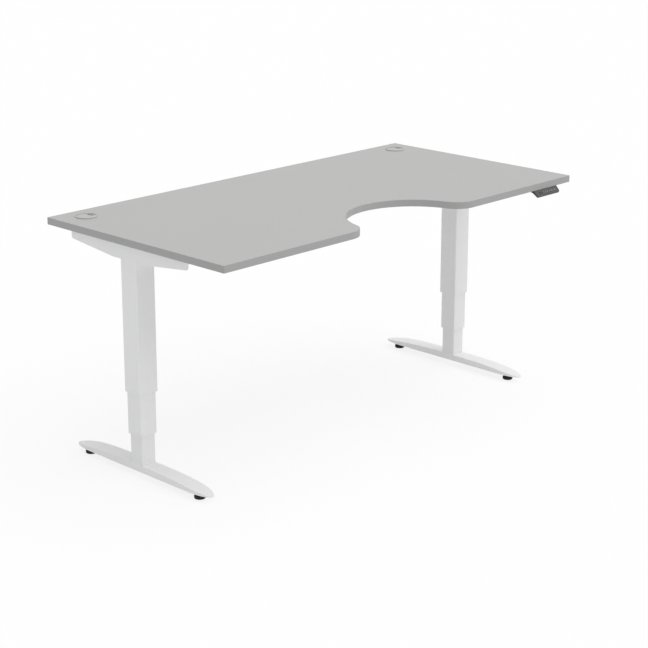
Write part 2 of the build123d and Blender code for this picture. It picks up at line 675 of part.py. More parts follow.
def glide(side, end):
    """A levelling glide: rounded disc, hexagon and threaded stem."""
    disc = Cylinder(GLIDE_R, GLIDE_DISC_H, align=(Align.CENTER, Align.CENTER, Align.MIN))
    rims = disc.edges().filter_by(GeomType.CIRCLE).sort_by(Axis.Z)
    disc = chamfer(rims[-1], GLIDE_BEVEL_H, GLIDE_R - GLIDE_TOP_R)
    rims = disc.edges().filter_by(GeomType.CIRCLE).sort_by(Axis.Z)
    piece = fillet(rims[0], GLIDE_ROUND)
    piece += hexagon(0, 0, GLIDE_DISC_H, FOOT_UNDERSIDE, GLIDE_NUT_FLATS)
    piece += rod(0, 0, FOOT_UNDERSIDE, GLIDE_STEM_TOP, GLIDE_STEM_R)
    return at_leg(side, Pos(0, ENDS[end] * GLIDE_SPREAD, 0) * piece)


# ---------------------------------------------------------------- fasteners
def wood_screw(x, y, clamped):
    """A wood screw, head down, that holds a piece of the given thickness to the worktop."""
    seat = TOP_UNDERSIDE - clamped
    bottom = seat - WOOD_HEAD_H
    head = rod(x, y, bottom, seat, WOOD_HEAD_R)
    head = fillet(head.edges().sort_by(Axis.Z)[0], WOOD_HEAD_ROUND)
    screw = head + rod(x, y, seat, TOP_UNDERSIDE + WOOD_SCREW_BITE, WOOD_SCREW_R)
    return screw - hexagon(x, y, bottom, bottom + WOOD_KEY_DEPTH, WOOD_KEY_FLATS)


def worktop_screws():
    """The wood screws that hold the arms, rails, control box and handset to the worktop."""
    group = [wood_screw(x, y, ARM_STEEL) for x, y in arm_screw_centres()]
    group += [wood_screw(x, y, RAIL_STEEL) for x, y in rail_screw_centres()]
    group += [wood_screw(x, y, BOX_EAR_H) for x, y in box_screw_centres()]
    return group + [wood_screw(x, y, HANDSET_TAIL) for x, y in handset_screw_centres()]


def column_bolt(x, y):
    """A socket head bolt that holds a column to its arm's saddle."""
    top = SADDLE_TOP + COLUMN_BOLT_HEAD_H
    bolt = rod(x, y, OUTER_TOP - COLUMN_BOLT_BITE, SADDLE_TOP, COLUMN_BOLT_R)
    bolt += rod(x, y, SADDLE_TOP, top, COLUMN_BOLT_HEAD_R)
    return bolt - hexagon(x, y, top - HEX_KEY_DEPTH, top, HEX_KEY_FLATS)


def rail_bolt(side, y, z):
    """A hexagon bolt and nut through a rail's end plate and the arm's inner wall."""
    grip = END_PLATE_STEEL + ARM_STEEL
    head = hexagon(0, 0, -RAIL_BOLT_HEAD_H, 0, RAIL_BOLT_FLATS)
    nut = hexagon(0, 0, grip, grip + RAIL_BOLT_HEAD_H, RAIL_BOLT_FLATS)
    bolt = head + rod(0, 0, 0, grip, RAIL_BOLT_R) + nut
    return Pos(SIDES[side] * RAIL_END, y, z) * Rot(0, SIDES[side] * 90, 0) * bolt


def frame_bolts():
    """The bolts that hold the columns and the rails to the arms."""
    group = []
    for side in SIDES:
        group += [at_leg(side, column_bolt(x, y)) for x, y in four_corners(BOLT_SPREAD)]
        group += [rail_bolt(side, y, z) for y, z in rail_bolt_centres()]
    return group


def foot_bolt(x, y):
    """A socket head bolt that holds a foot to the plate in its inner tube."""
    bolt = rod(x, y, FOOT_BOLT_SEAT, FOOT_TOP + BASE_PLATE_H, FOOT_BOLT_R)
    bolt += rod(x, y, FOOT_BOLT_BOTTOM, FOOT_BOLT_SEAT, FOOT_BOLT_HEAD_R)
    return bolt - hexagon(x, y, FOOT_BOLT_BOTTOM, FOOT_BOLT_BOTTOM + HEX_KEY_DEPTH, HEX_KEY_FLATS)


def foot_bolts():
    """The bolts that hold both feet."""
    places = four_corners(FOOT_BOLT_SPREAD)
    return [at_leg(side, foot_bolt(x, y)) for side in SIDES for x, y in places]


# ---------------------------------------------------------------- control box
def control_box():
    """The control box: rounded shell with screw ears and a rebate for the sockets."""
    bottom = TOP_UNDERSIDE - BOX_HEIGHT
    shell = rounded_block(BOX_WIDTH, BOX_DEPTH, bottom, TOP_UNDERSIDE, BOX_ROUND)
    shell = chamfer(shell.faces().sort_by(Axis.Z)[0].edges(), BOX_BEVEL)
    reach = BOX_WIDTH / 2 + BOX_EAR
    ear_bottom = TOP_UNDERSIDE - BOX_EAR_H
    shell += rounded_block(2 * reach, BOX_EAR_WIDTH, ear_bottom, TOP_UNDERSIDE, BOX_ROUND)
    half = SOCKET_STRIP_WIDTH / 2
    low = TOP_UNDERSIDE - BOX_HEIGHT / 2 - SOCKET_STRIP_HEIGHT / 2
    back = BOX_DEPTH / 2
    shell -= block(-half, half, back - SOCKET_STRIP_DEPTH, back, low, low + SOCKET_STRIP_HEIGHT)
    shell = Pos(BOX_X, BOX_Y, 0) * shell
    for x, y in box_screw_centres():
        shell -= rod(x, y, ear_bottom, TOP_UNDERSIDE, WOOD_SCREW_R + SCREW_FIT)
    return shell


def socket_strip():
    """The strip in the box's back face with the mains inlet and the lead sockets."""
    half = SOCKET_STRIP_WIDTH / 2
    middle = TOP_UNDERSIDE - BOX_HEIGHT / 2
    low = middle - SOCKET_STRIP_HEIGHT / 2
    back = BOX_DEPTH / 2
    front = back - SOCKET_STRIP_DEPTH
    strip = block(-half, half, front, back, low, low + SOCKET_STRIP_HEIGHT)
    inlet = Pos(half - INLET_FROM_END, (front + back) / 2, middle)
    strip -= inlet * Box(INLET_WIDTH, SOCKET_STRIP_DEPTH, INLET_HEIGHT)
    for number in range(SOCKET_COUNT):
        x = half - INLET_FROM_END - SOCKET_FROM_INLET - number * SOCKET_PITCH
        strip -= Pos(x, (front + back) / 2, middle) * Box(SOCKET_WIDTH, SOCKET_STRIP_DEPTH, SOCKET_HEIGHT)
    return Pos(BOX_X, BOX_Y, 0) * strip


# ---------------------------------------------------------------- handset
# The sloping face has its own plane: X along the desk, Y up the slope, Z out of it.
FACE_LENGTH = math.hypot(HANDSET_REACH, HANDSET_DROP)
FACE_MIDDLE = (HANDSET_X, FRONT_EDGE - HANDSET_REACH / 2, TOP_UNDERSIDE - HANDSET_DROP / 2)
FACE_NORMAL = (0, -HANDSET_DROP / FACE_LENGTH, HANDSET_REACH / FACE_LENGTH)
FACE = Plane(origin=FACE_MIDDLE, x_dir=(1, 0, 0), z_dir=FACE_NORMAL)
PANEL_WIDTH = HANDSET_WIDTH - 2 * PANEL_END_MARGIN
PANEL_HEIGHT = FACE_LENGTH - 2 * PANEL_MARGIN
WINDOW_X = -PANEL_WIDTH / 2 + WINDOW_FROM_END + WINDOW_WIDTH / 2
KEY_POCKET = KEY_FLANGE_H + KEY_TRAVEL + KEY_MAT_GAP


def keys():
    """The keys from right to left: up, down, then the presets; name, X on the face, width."""
    names = ["up", "down"] + [f"preset_{number}" for number in range(PRESET_COUNT, 0, -1)]
    edge = PANEL_WIDTH / 2 - KEYS_FROM_END
    found = []
    for name in names:
        width = PRESET_KEY_WIDTH if name.startswith("preset") else LIFT_KEY_WIDTH
        found.append((name, edge - width / 2, width))
        edge -= width + KEY_GAP
    return found


def handset_housing():
    """A wedge that hangs under the front edge, its keys on the sloping nose."""
    back = FRONT_EDGE + HANDSET_BACK
    nose_y = FRONT_EDGE - HANDSET_REACH
    nose_z = TOP_UNDERSIDE - HANDSET_DROP
    outline = Polyline(
        (back, TOP_UNDERSIDE),
        (FRONT_EDGE, TOP_UNDERSIDE),
        (nose_y, nose_z),
        (nose_y + HANDSET_NOSE, nose_z - HANDSET_NOSE),
        (FRONT_EDGE + HANDSET_NOSE, TOP_UNDERSIDE - HANDSET_THROAT),
        (FRONT_EDGE + HANDSET_THROAT_RUN, TOP_UNDERSIDE - HANDSET_TAIL),
        (back, TOP_UNDERSIDE - HANDSET_TAIL),
        close=True,
    )
    body = extrude(make_face(Plane.YZ * outline), HANDSET_WIDTH / 2, both=True)
    for side, (run, depth) in zip((-1, 1), (HANDSET_LEFT_BEVEL, HANDSET_RIGHT_BEVEL)):
        end = side * HANDSET_WIDTH / 2
        bevel = Polyline((end - side * run, nose_y), (end, nose_y), (end, nose_y + depth), close=True)
        cutter = extrude(make_face(bevel), HANDSET_DROP, dir=(0, 0, 1))
        body -= Pos(0, 0, nose_z - 2 * HANDSET_NOSE) * cutter
    body = Pos(HANDSET_X, 0, 0) * body
    seat = Rectangle(PANEL_WIDTH, PANEL_HEIGHT)
    body -= extrude(FACE * seat, -PANEL_THICKNESS)
    room = FACE.offset(-PANEL_THICKNESS)
    spare = 2 * (KEY_FLANGE + KEY_PLAY)
    for _, x, width in keys():
        pocket = Pos(x, 0) * Rectangle(width + spare, KEY_HEIGHT + spare)
        body -= extrude(room * pocket, -KEY_POCKET)
    for x, y in handset_screw_centres():
        body -= rod(x, y, TOP_UNDERSIDE - HANDSET_THROAT, TOP_UNDERSIDE, WOOD_SCREW_R + SCREW_FIT)
    return body


def handset_panel():
    """The flush face plate, with holes for the keys and the display window."""
    plate = Rectangle(PANEL_WIDTH - 2 * PANEL_FIT, PANEL_HEIGHT - 2 * PANEL_FIT)
    for _, x, width in keys():
        hole = RectangleRounded(width + 2 * KEY_PLAY, KEY_HEIGHT + 2 * KEY_PLAY, KEY_ROUND + KEY_PLAY)
        plate -= Pos(x, 0) * hole
    plate -= Pos(WINDOW_X, 0) * Rectangle(WINDOW_WIDTH, WINDOW_HEIGHT)
    return extrude(FACE * plate, -PANEL_THICKNESS)


def display_window():
    """The display behind its window."""
    pane = Pos(WINDOW_X, 0) * Rectangle(WINDOW_WIDTH - 2 * PANEL_FIT, WINDOW_HEIGHT - 2 * PANEL_FIT)
    return extrude(FACE * pane, -PANEL_THICKNESS)


def key(x, width):
    """One key: a cap through the panel and a flange that keeps it in."""
    cap = Pos(x, 0) * RectangleRounded(width, KEY_HEIGHT, KEY_ROUND)
    flange = Pos(x, 0) * Rectangle(width + 2 * KEY_FLANGE, KEY_HEIGHT + 2 * KEY_FLANGE)
    under = FACE.offset(-PANEL_THICKNESS - KEY_FLANGE_H)
    piece = extrude(under * cap, KEY_FLANGE_H + PANEL_THICKNESS + KEY_PROUD)
    return piece + extrude(under * flange, KEY_FLANGE_H)


# ---------------------------------------------------------------- the whole desk
def build():
    """All nodes by name; a group of separate solids is a list."""
    nodes = {
        "desktop": desktop(),
        "edge_band": edge_band(),
        "worktop_screws": worktop_screws(),
        "frame_bolts": frame_bolts(),
        "foot_bolts": foot_bolts(),
        "control_box": control_box(),
        "socket_strip": socket_strip(),
        "handset_housing": handset_housing(),
        "handset_panel": handset_panel(),
        "display_window": display_window(),
    }
    for name, x, width in keys():
        nodes[f"key_{name}"] = key(x, width)
    for end in ENDS:
        nodes[f"cross_rail_{end}"] = cross_rail(end)
    for side, sign in SIDES.items():
        nodes[f"port_ring_{side}"] = Pos(sign * PORT_X, PORT_Y, 0) * port_ring()
        nodes[f"port_lid_{side}"] = Pos(sign * PORT_X, PORT_Y, 0) * port_lid()
        nodes[f"side_arm_{side}"] = side_arm(side)
        nodes[f"motor_{side}"] = motor(side)
        for end in ENDS:
            nodes[f"glide_{end}_{side}"] = glide(side, end)
        upright = {
            "gearbox": gearbox(),
            "outer_tube": square_tube(OUTER_SIDE, OUTER_BOTTOM, OUTER_TOP),
            "outer_head": outer_head(),
            "middle_tube": square_tube(MIDDLE_SIDE, MIDDLE_BOTTOM, MIDDLE_TOP),
            "middle_head": middle_head(),
            "inner_tube": inner_tube(),
            "inner_head": inner_head(),
            "upper_nut": upper_nut(),
            "lower_nut": lower_nut(),
            "spindle": spindle(),
            "hollow_spindle": hollow_spindle(),
            "foot": foot(),
            "outer_pads": lower_pads(OUTER_SIDE, MIDDLE_SIDE, OUTER_BOTTOM),
            "middle_pads": upper_pads(OUTER_SIDE, MIDDLE_SIDE, MIDDLE_TOP)
            + lower_pads(MIDDLE_SIDE, INNER_SIDE, MIDDLE_BOTTOM),
            "inner_pads": upper_pads(MIDDLE_SIDE, INNER_SIDE, INNER_TOP),
        }
        for name, piece in upright.items():
            pieces = piece if isinstance(piece, list) else [piece]
            nodes[f"{name}_{side}"] = [at_leg(side, item) for item in pieces]
    return nodes


def main():
    """Writes one STEP file for each node."""
    os.makedirs("parts", exist_ok=True)
    for name, piece in build().items():
        solids = []
        for item in piece if isinstance(piece, list) else [piece]:
            solids += item.solids()
        node = solids[0] if len(solids) == 1 else Compound(children=solids)
        node.label = name
        export_step(node, f"parts/{name}.step")


if __name__ == "__main__":
    main()
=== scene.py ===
import json
import math

import bmesh
import bpy
from mathutils import Euler, Matrix, Vector


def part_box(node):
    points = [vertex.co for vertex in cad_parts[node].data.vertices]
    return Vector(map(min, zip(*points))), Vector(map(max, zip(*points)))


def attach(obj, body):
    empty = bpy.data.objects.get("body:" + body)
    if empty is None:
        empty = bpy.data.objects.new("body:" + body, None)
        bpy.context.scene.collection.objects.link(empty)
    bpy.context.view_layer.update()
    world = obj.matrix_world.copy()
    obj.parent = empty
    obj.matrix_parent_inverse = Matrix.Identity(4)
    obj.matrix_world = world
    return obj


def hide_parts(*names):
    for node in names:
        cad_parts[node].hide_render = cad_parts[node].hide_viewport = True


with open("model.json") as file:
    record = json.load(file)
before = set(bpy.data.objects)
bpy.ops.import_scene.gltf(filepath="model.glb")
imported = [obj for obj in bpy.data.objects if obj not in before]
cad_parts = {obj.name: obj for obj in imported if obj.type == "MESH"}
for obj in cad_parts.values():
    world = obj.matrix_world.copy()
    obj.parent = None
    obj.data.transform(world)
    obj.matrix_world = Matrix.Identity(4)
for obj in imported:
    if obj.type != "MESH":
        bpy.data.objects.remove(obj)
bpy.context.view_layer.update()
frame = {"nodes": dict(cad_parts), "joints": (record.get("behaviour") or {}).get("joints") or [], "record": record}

# A height adjustable desk. Everything is in metres, in the frame of the CAD model:
# +X to the user's right, +Y away from the user, Z up from the floor.
MM = 0.001
TOUCHING = MM / 1000  # corners nearer than this are one corner
SHARP_FROM = math.radians(35)  # edges that turn more than this stay sharp
CLEAR = 1 * MM  # how far a cutter stands out of what it cuts
WHITE = (1.0, 1.0, 1.0, 1.0)
HEAD_DOWN, HEAD_UP, HEAD_BACK = (0, 0, 0), (180, 0, 0), (90, 0, 0)  # ways to turn a screw
SIDES = {"left": -1, "right": 1}
ENDS = {"front": -1, "back": 1}
LIFT_KEYS = {"key_up": 1, "key_down": -1}
PRESET_KEYS = {f"key_preset_{number}": str(number) for number in range(1, 5)}


# ---------------------------------------------------------------- finishes
class Signal:
    """A shader socket that can be used in sums: each operator adds its Math node."""

    def __init__(self, tree, socket):
        self.tree = tree
        self.socket = socket

    def _math(self, operation, first, second=0.0):
        settings = {"operation": operation}
        return self.tree.node("ShaderNodeMath", settings, {0: first, 1: second})

    def __add__(self, other):
        return self._math("ADD", self, other)

    def __radd__(self, other):
        return self._math("ADD", other, self)

    def __sub__(self, other):
        return self._math("SUBTRACT", self, other)

    def __rsub__(self, other):
        return self._math("SUBTRACT", other, self)

    def __mul__(self, other):
        return self._math("MULTIPLY", self, other)

    def __rmul__(self, other):
        return self._math("MULTIPLY", other, self)

    def __abs__(self):
        return self._math("ABSOLUTE", self)

    def ramp(self, low, high):
        """0 below the low value, 1 above the high one, smooth between."""
        settings = {"interpolation_type": "SMOOTHSTEP", "clamp": True}
        sockets = {"Value": self, "From Min": low, "From Max": high}
        return self.tree.node("ShaderNodeMapRange", settings, sockets)


def add_node(tree, kind, settings, sockets):
    """Adds a node: first its settings, then the values or links of its sockets."""
    node = tree.nodes.new(kind)
    for name, value in (settings or {}).items():
        setattr(node, name, value)
    for name, value in (sockets or {}).items():
        if isinstance(value, bpy.types.NodeSocket):
            tree.links.new(value, node.inputs[name])
        else:
            node.inputs[name].default_value = value
    return node


class ShaderTree:
    """The nodes of a material or of the world."""

    def __init__(self, owner):
        owner.use_nodes = True
        self.tree = owner.node_tree
        self.tree.nodes.clear()

    def node(self, kind, settings=None, sockets=None, output=0):
        """Adds a node and returns one of its outputs as a signal."""
        given = {
            name: value.socket if isinstance(value, Signal) else value
            for name, value in (sockets or {}).items()
        }
        return Signal(self, add_node(self.tree, kind, settings, given).outputs[output])

    def mix(self, share, first, second):
        """A mix of two shaders by a share from 0 to 1."""
        return self.node("ShaderNodeMixShader", None, {0: share, 1: first, 2: second})

    def background_rays(self):
        """1 for the rays that show the background: straight, mirrored or through glass."""
        straight = self.node("ShaderNodeLightPath", output="Is Camera Ray")
        mirrored = self.node("ShaderNodeLightPath", output="Is Glossy Ray")
        through = self.node("ShaderNodeLightPath", output="Is Transmission Ray")
        return straight + mirrored + through

    def end(self, kind, shader):
        """Ends the tree in an output node of its kind."""
        out = self.tree.nodes.new(kind)
        self.tree.links.new(shader.socket, out.inputs["Surface"])


class Finish(ShaderTree):
    """A material and the nodes that make it."""

    def __init__(self, name):
        self.material = bpy.data.materials.new(name)
        super().__init__(self.material)
        self.place = self.node("ShaderNodeTexCoord", output="Object")

    def stretched(self, scale):
        """The object's coordinates, scaled by a different amount on each axis."""
        sockets = {"Vector": self.place, "Scale": scale}
        return self.node("ShaderNodeMapping", None, sockets)

    def noise(self, scale, detail=2.0, rough=0.5, place=None):
        """Cloudy noise about 0.5; the scale is in waves to a metre."""
        sockets = {
            "Vector": place or self.place,
            "Scale": scale,
            "Detail": detail,
            "Roughness": rough,
        }
        return self.node("ShaderNodeTexNoise", None, sockets)

    def cells(self, scale, feature="F1", output="Distance", place=None):
        """A cell pattern; the scale is in cells to a metre."""
        sockets = {"Vector": place or self.place, "Scale": scale}
        return self.node("ShaderNodeTexVoronoi", {"feature": feature}, sockets, output)

    def blend(self, share, first, second):
        """A mix of two colours by a share from 0 to 1."""
        factor, colour_a, colour_b, result = 0, 6, 7, 2
        sockets = {factor: share, colour_a: rgba(first), colour_b: rgba(second)}
        return self.node("ShaderNodeMix", {"data_type": "RGBA"}, sockets, output=result)

    def bump(self, height, distance, strength=1.0, under=None):
        """A normal roughened by a height; the distance is in metres."""
        sockets = {"Height": height, "Distance": distance, "Strength": strength}
        if under is not None:
            sockets["Normal"] = under
        return self.node("ShaderNodeBump", None, sockets)

    def surface(self, **sockets):
        """The shader that the finish ends in. Words are joined with underscores."""
        named = {name.replace("_", " "): value for name, value in sockets.items()}
        shader = self.node("ShaderNodeBsdfPrincipled", None, named)
        self.end("ShaderNodeOutputMaterial", shader)
        return self.material


def rgba(colour):
    """A colour as four numbers, or the signal as it is."""
    if isinstance(colour, Signal):
        return colour
    return (*colour, 1.0)


def grey(level, warmth=0.0):
    """A near grey; the warmth lifts red and lowers blue by a small share."""
    return (level * (1 + warmth), level, level * (1 - warmth))


def laminate():
    """Melamine facing: matt, with a fine pebbled texture, over a chipboard core."""
    finish = Finish("laminate")
    drift = finish.noise(2.2, 3.0)
    fleck = finish.noise(700.0, 3.0, 0.65)
    tint = drift * 0.4 + fleck.ramp(0.3, 0.7) * 0.6
    face = finish.blend(tint, grey(0.462, 0.006), grey(0.497, 0.008))
    chip_place = finish.stretched((1.0, 1.0, 2.4))
    chips = finish.cells(420.0, output="Color", place=chip_place)
    tone = finish.node("ShaderNodeSeparateColor", None, {"Color": chips}, output="Red")
    core = finish.blend(tone, (0.36, 0.23, 0.12), (0.62, 0.45, 0.27))
    upright = finish.node("ShaderNodeNewGeometry", output="Normal")
    flatness = abs(finish.node("ShaderNodeSeparateXYZ", None, {"Vector": upright}, output="Z"))
    facing = flatness.ramp(0.4, 0.6)
    pebble = finish.cells(900.0, "SMOOTH_F1")
    normal = finish.bump(pebble * facing + tone * (1.0 - facing) * 2.0, 0.00012, 0.8)
    return finish.surface(
        Base_Color=finish.blend(facing, core, face),
        Roughness=0.84 - facing * (0.24 + fleck * 0.08),
        Specular_IOR_Level=0.3,
        Normal=normal,
    )


def edging():
    """Plastic edging strip: satin, with faint scraper lines along its length."""
    finish = Finish("edging")
    drift = finish.noise(5.0, 2.0)
    lines = finish.noise(1.0, 2.0, place=finish.stretched((14.0, 14.0, 1600.0)))
    return finish.surface(
        Base_Color=finish.blend(drift, grey(0.380, 0.002), grey(0.400, 0.004)),
        Roughness=0.40 + lines * 0.16,
        Specular_IOR_Level=0.4,
        Normal=finish.bump(lines, 0.00002, 0.5),
    )


def moulded(name, dark, pale, roughness, grain, depth, shine=0.5):
    """Moulded plastic with a spark-eroded texture of the given grain."""
    finish = Finish(name)
    sparks = finish.noise(grain, 3.0, 0.6)
    cloud = finish.noise(25.0, 2.0)
    return finish.surface(
        Base_Color=finish.blend(cloud * 0.6 + sparks * 0.4, dark, pale),
        Roughness=roughness - 0.05 + sparks * 0.1,
        Specular_IOR_Level=shine,
        Normal=finish.bump(sparks, depth, 0.7),
    )


def powder_coat(name, dark, pale):
    """Powder coat: orange peel with a finer tooth on it, slightly uneven in tone."""
    finish = Finish(name)
    peel = finish.noise(420.0, 1.0, 0.4)
    tooth = finish.noise(2600.0, 2.0)
    drift = finish.noise(3.0, 3.0)
    normal = finish.bump(peel, 0.00025, 0.6)
    return finish.surface(
        Base_Color=finish.blend(drift * 0.5 + peel.ramp(0.3, 0.7) * 0.5, dark, pale),
        Roughness=0.36 + tooth * 0.12 + drift * 0.06,
        Specular_IOR_Level=0.45,
        Normal=finish.bump(tooth, 0.00003, 0.5, under=normal),
    )


def bare_metal(name, dark, pale, roughness, streak):
    """Bare metal with machining or drawing marks; the streak stretches them."""
    finish = Finish(name)
    marks = finish.noise(1.0, 4.0, 0.6, place=finish.stretched(streak))
    cloud = finish.noise(60.0, 3.0)
    return finish.surface(
        Base_Color=finish.blend(cloud * 0.5 + marks * 0.5, dark, pale),
        Metallic=1.0,
        Roughness=roughness + marks * 0.14 + cloud * 0.06,
        Normal=finish.bump(marks, 0.00002, 0.5),
    )


def enamel():
    """Black stoving enamel on the motors, with soft runs and a little dust."""
    finish = Finish("enamel")
    runs = finish.noise(160.0, 2.0)
    dust = finish.noise(1900.0, 2.0)
    return finish.surface(
        Base_Color=finish.blend(runs, grey(0.016), grey(0.028, 0.01)),
        Roughness=0.26 + runs * 0.12 + dust * 0.08,
        Coat_Weight=0.25 + runs * 0.2,
        Coat_Roughness=0.2,
        Normal=finish.bump(runs, 0.00008, 0.4),
    )


def smoked_glass():
    """The display's smoked window: glossy, with faint smears."""
    finish = Finish("smoked_window")
    smear = finish.noise(1.0, 3.0, place=finish.stretched((260.0, 90.0, 90.0)))
    return finish.surface(
        Base_Color=finish.blend(smear, grey(0.008), grey(0.015, -0.05)),
        Roughness=0.09 + smear * 0.14,
        Specular_IOR_Level=0.3,
    )


def lamp_lens():
    """The green lens of the power lamp, with small facets."""
    finish = Finish("lamp_lens")
    facets = finish.cells(2200.0)
    return finish.surface(
        Base_Color=finish.blend(
            facets.ramp(0.1, 0.7), (0.05, 0.30, 0.09), (0.12, 0.52, 0.18)
        ),
        Roughness=0.12 + facets * 0.1,
        Coat_Weight=0.5,
        Normal=finish.bump(facets, 0.00002, 0.4),
    )


def ink():
    """Pale printed ink on the keys, slightly worn."""
    finish = Finish("key_ink")
    wear = finish.noise(1400.0, 3.0)
    return finish.surface(
        Base_Color=finish.blend(wear.ramp(0.55, 0.8), grey(0.58), grey(0.38)),
        Roughness=0.5 + wear * 0.1,
    )


FINISHES = {
    "laminate": laminate(),
    "edging": edging(),
    "port_plastic": moulded(
        "port_plastic", grey(0.44), grey(0.465, 0.004),
        roughness=0.42, grain=1500.0, depth=0.00002,
    ),
    "white_steel": powder_coat("white_steel", grey(0.865), grey(0.90)),
    # white_casting is the same white powder coat as white_steel, made a little paler: painted light, so that the
    # feet's upward-facing tops read brighter
    "white_casting": powder_coat("white_casting", grey(0.90), grey(0.935)),
    "die_cast": bare_metal(
        "die_cast", grey(0.38), grey(0.55), roughness=0.42, streak=(300.0, 300.0, 300.0)
    ),
    "motor_can": enamel(),
    "spindle_steel": bare_metal(
        "spindle_steel", grey(0.42), grey(0.58), roughness=0.22, streak=(900.0, 900.0, 60.0)
    ),
    "nut_bronze": bare_metal(
        "nut_bronze", (0.52, 0.34, 0.14), (0.66, 0.46, 0.22),
        roughness=0.28, streak=(80.0, 80.0, 2400.0),
    ),
    "slide_plastic": moulded(
        "slide_plastic", grey(0.66, 0.02), grey(0.74, 0.03),
        roughness=0.36, grain=700.0, depth=0.00002,
    ),
    "glide_plastic": moulded(
        "glide_plastic", grey(0.008), grey(0.014),
        roughness=0.55, grain=1100.0, depth=0.00006, shine=0.3,
    ),
    "screw_steel": bare_metal(
        "screw_steel", grey(0.55), grey(0.72), roughness=0.2, streak=(700.0, 700.0, 700.0)
    ),
    "box_plastic": moulded(
        "box_plastic", grey(0.012), grey(0.020), roughness=0.55, grain=1300.0, depth=0.00006
    ),
    "handset_plastic": moulded(
        "handset_plastic", grey(0.028), grey(0.038), roughness=0.5, grain=1600.0, depth=0.00004
    ),
    "panel_film": moulded(
        "panel_film", grey(0.056), grey(0.072),
        roughness=0.46, grain=2600.0, depth=0.00002, shine=0.4,
    ),
    "display_glass": smoked_glass(),
    "key_plastic": moulded(
        "key_plastic", grey(0.088), grey(0.110),
        roughness=0.44, grain=2100.0, depth=0.00002, shine=0.4,
    ),
    "ink": ink(),
    "lamp_lens": lamp_lens(),
}


def dress_nodes():
    """Gives each CAD node the finish of its slot in the record."""
    for part in frame["record"]["subparts"]:
        mesh = frame["nodes"][part["node"]].data
        mesh.materials.clear()
        mesh.materials.append(FINISHES[part["material_slot"]])


# ---------------------------------------------------------------- making pieces
def placed(name, data):
    """A new object in the scene that holds the data."""
    made = bpy.data.objects.new(name, data)
    bpy.context.scene.collection.objects.link(made)
    return made


def made_plain(carrier):
    """The finished shape of an object as a plain mesh; the object is taken away."""
    ready = carrier.evaluated_get(bpy.context.evaluated_depsgraph_get())
    mesh = bpy.data.meshes.new_from_object(ready)
    bpy.data.objects.remove(carrier)
    return mesh


def smoothed(mesh):
    """The mesh, smooth except across sharp edges."""
    mesh.shade_smooth()
    mesh.set_sharp_from_angle(angle=SHARP_FROM)
    return mesh


def node_middle(node):
    """The middle of a CAD node's box."""
    low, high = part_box(node)
    return (low + high) / 2


def solid_boxes(node):
    """The boxes of a CAD node's separate solids."""
    shape = bmesh.new()
    shape.from_mesh(frame["nodes"][node].data)
    bmesh.ops.remove_doubles(shape, verts=shape.verts, dist=TOUCHING)
    boxes = []
    waiting = set(shape.verts)
    while waiting:
        found = [waiting.pop()]
        for vertex in found:
            for edge in vertex.link_edges:
                other = edge.other_vert(vertex)
                if other in waiting:
                    waiting.remove(other)
                    found.append(other)
        corners = [vertex.co.copy() for vertex in found]
        low = Vector([min(corner[axis] for corner in corners) for axis in range(3)])
        high = Vector([max(corner[axis] for corner in corners) for axis in range(3)])
        boxes.append((low, high))
    shape.free()
    return sorted(boxes, key=lambda box: tuple(box[0]))


def profile(*points):
    """An outline for turning, as (radius, height) pairs given in millimetres."""
    return [(radius * MM, height * MM) for radius, height in points]


def turned(outline, steps=48):
    """A solid turned about Z from (radius, height) pairs that start and end on the axis."""
    shape = bmesh.new()
    rings = []
    for radius, height in outline:
        if radius == 0:
            rings.append([shape.verts.new((0, 0, height))])
            continue
        angles = [2 * math.pi * step / steps for step in range(steps)]
        rings.append([
            shape.verts.new((radius * math.cos(angle), radius * math.sin(angle), height))
            for angle in angles
        ])
    for lower, upper in zip(rings, rings[1:]):
        for step in range(steps):
            after = (step + 1) % steps
            corners = [lower[step % len(lower)], lower[after % len(lower)]]
            corners += [upper[after % len(upper)], upper[step % len(upper)]]
            unique = list(dict.fromkeys(corners))
            if len(unique) > 2:
                shape.faces.new(unique)
    bmesh.ops.recalc_face_normals(shape, faces=shape.faces)
    return shape


def prism(outline, low, high):
    """A solid between two heights over a flat outline."""
    shape = bmesh.new()
    floor = shape.faces.new([shape.verts.new((x, y, low)) for x, y in outline])
    lifted = bmesh.ops.extrude_face_region(shape, geom=[floor])["geom"]
    roof = [item for item in lifted if isinstance(item, bmesh.types.BMVert)]
    bmesh.ops.translate(shape, verts=roof, vec=(0, 0, high - low))
    bmesh.ops.recalc_face_normals(shape, faces=shape.faces)
    return shape


def rounded_slab(width, depth, corner, low, high):
    """An upright slab with rounded corners."""
    outline = []
    steps = 6
    for number, (x, y) in enumerate(((1, 1), (-1, 1), (-1, -1), (1, -1))):
        centre = (x * (width / 2 - corner), y * (depth / 2 - corner))
        for step in range(steps + 1):
            angle = math.pi / 2 * (number + step / steps)
            outline.append((
                centre[0] + corner * math.cos(angle), centre[1] + corner * math.sin(angle)
            ))
    return prism(outline, low, high)


def hexagon(flats):
    """A hexagon's corners, measured across its flats."""
    reach = flats / math.sqrt(3)
    return [
        (reach * math.cos(math.pi * step / 3), reach * math.sin(math.pi * step / 3))
        for step in range(6)
    ]


def joined(*shapes):
    """Several shapes as one mesh of separate shells."""
    whole = bmesh.new()
    for shape in shapes:
        mesh = bpy.data.meshes.new("part")
        shape.to_mesh(mesh)
        whole.from_mesh(mesh)
        shape.free()
        bpy.data.meshes.remove(mesh)
    return whole


def moved(shape, place, turn=(0, 0, 0)):
    """A shape turned by Euler angles in degrees and moved to its place."""
    angles = Euler([math.radians(angle) for angle in turn])
    matrix = Matrix.Translation(place) @ angles.to_matrix().to_4x4()
    bmesh.ops.transform(shape, matrix=matrix, verts=shape.verts)
    return shape


def as_mesh(name, shape):
    """Turns a shape into a mesh that is smooth except across sharp edges."""
    mesh = bpy.data.meshes.new(name)
    shape.to_mesh(mesh)
    shape.free()
    return smoothed(mesh)


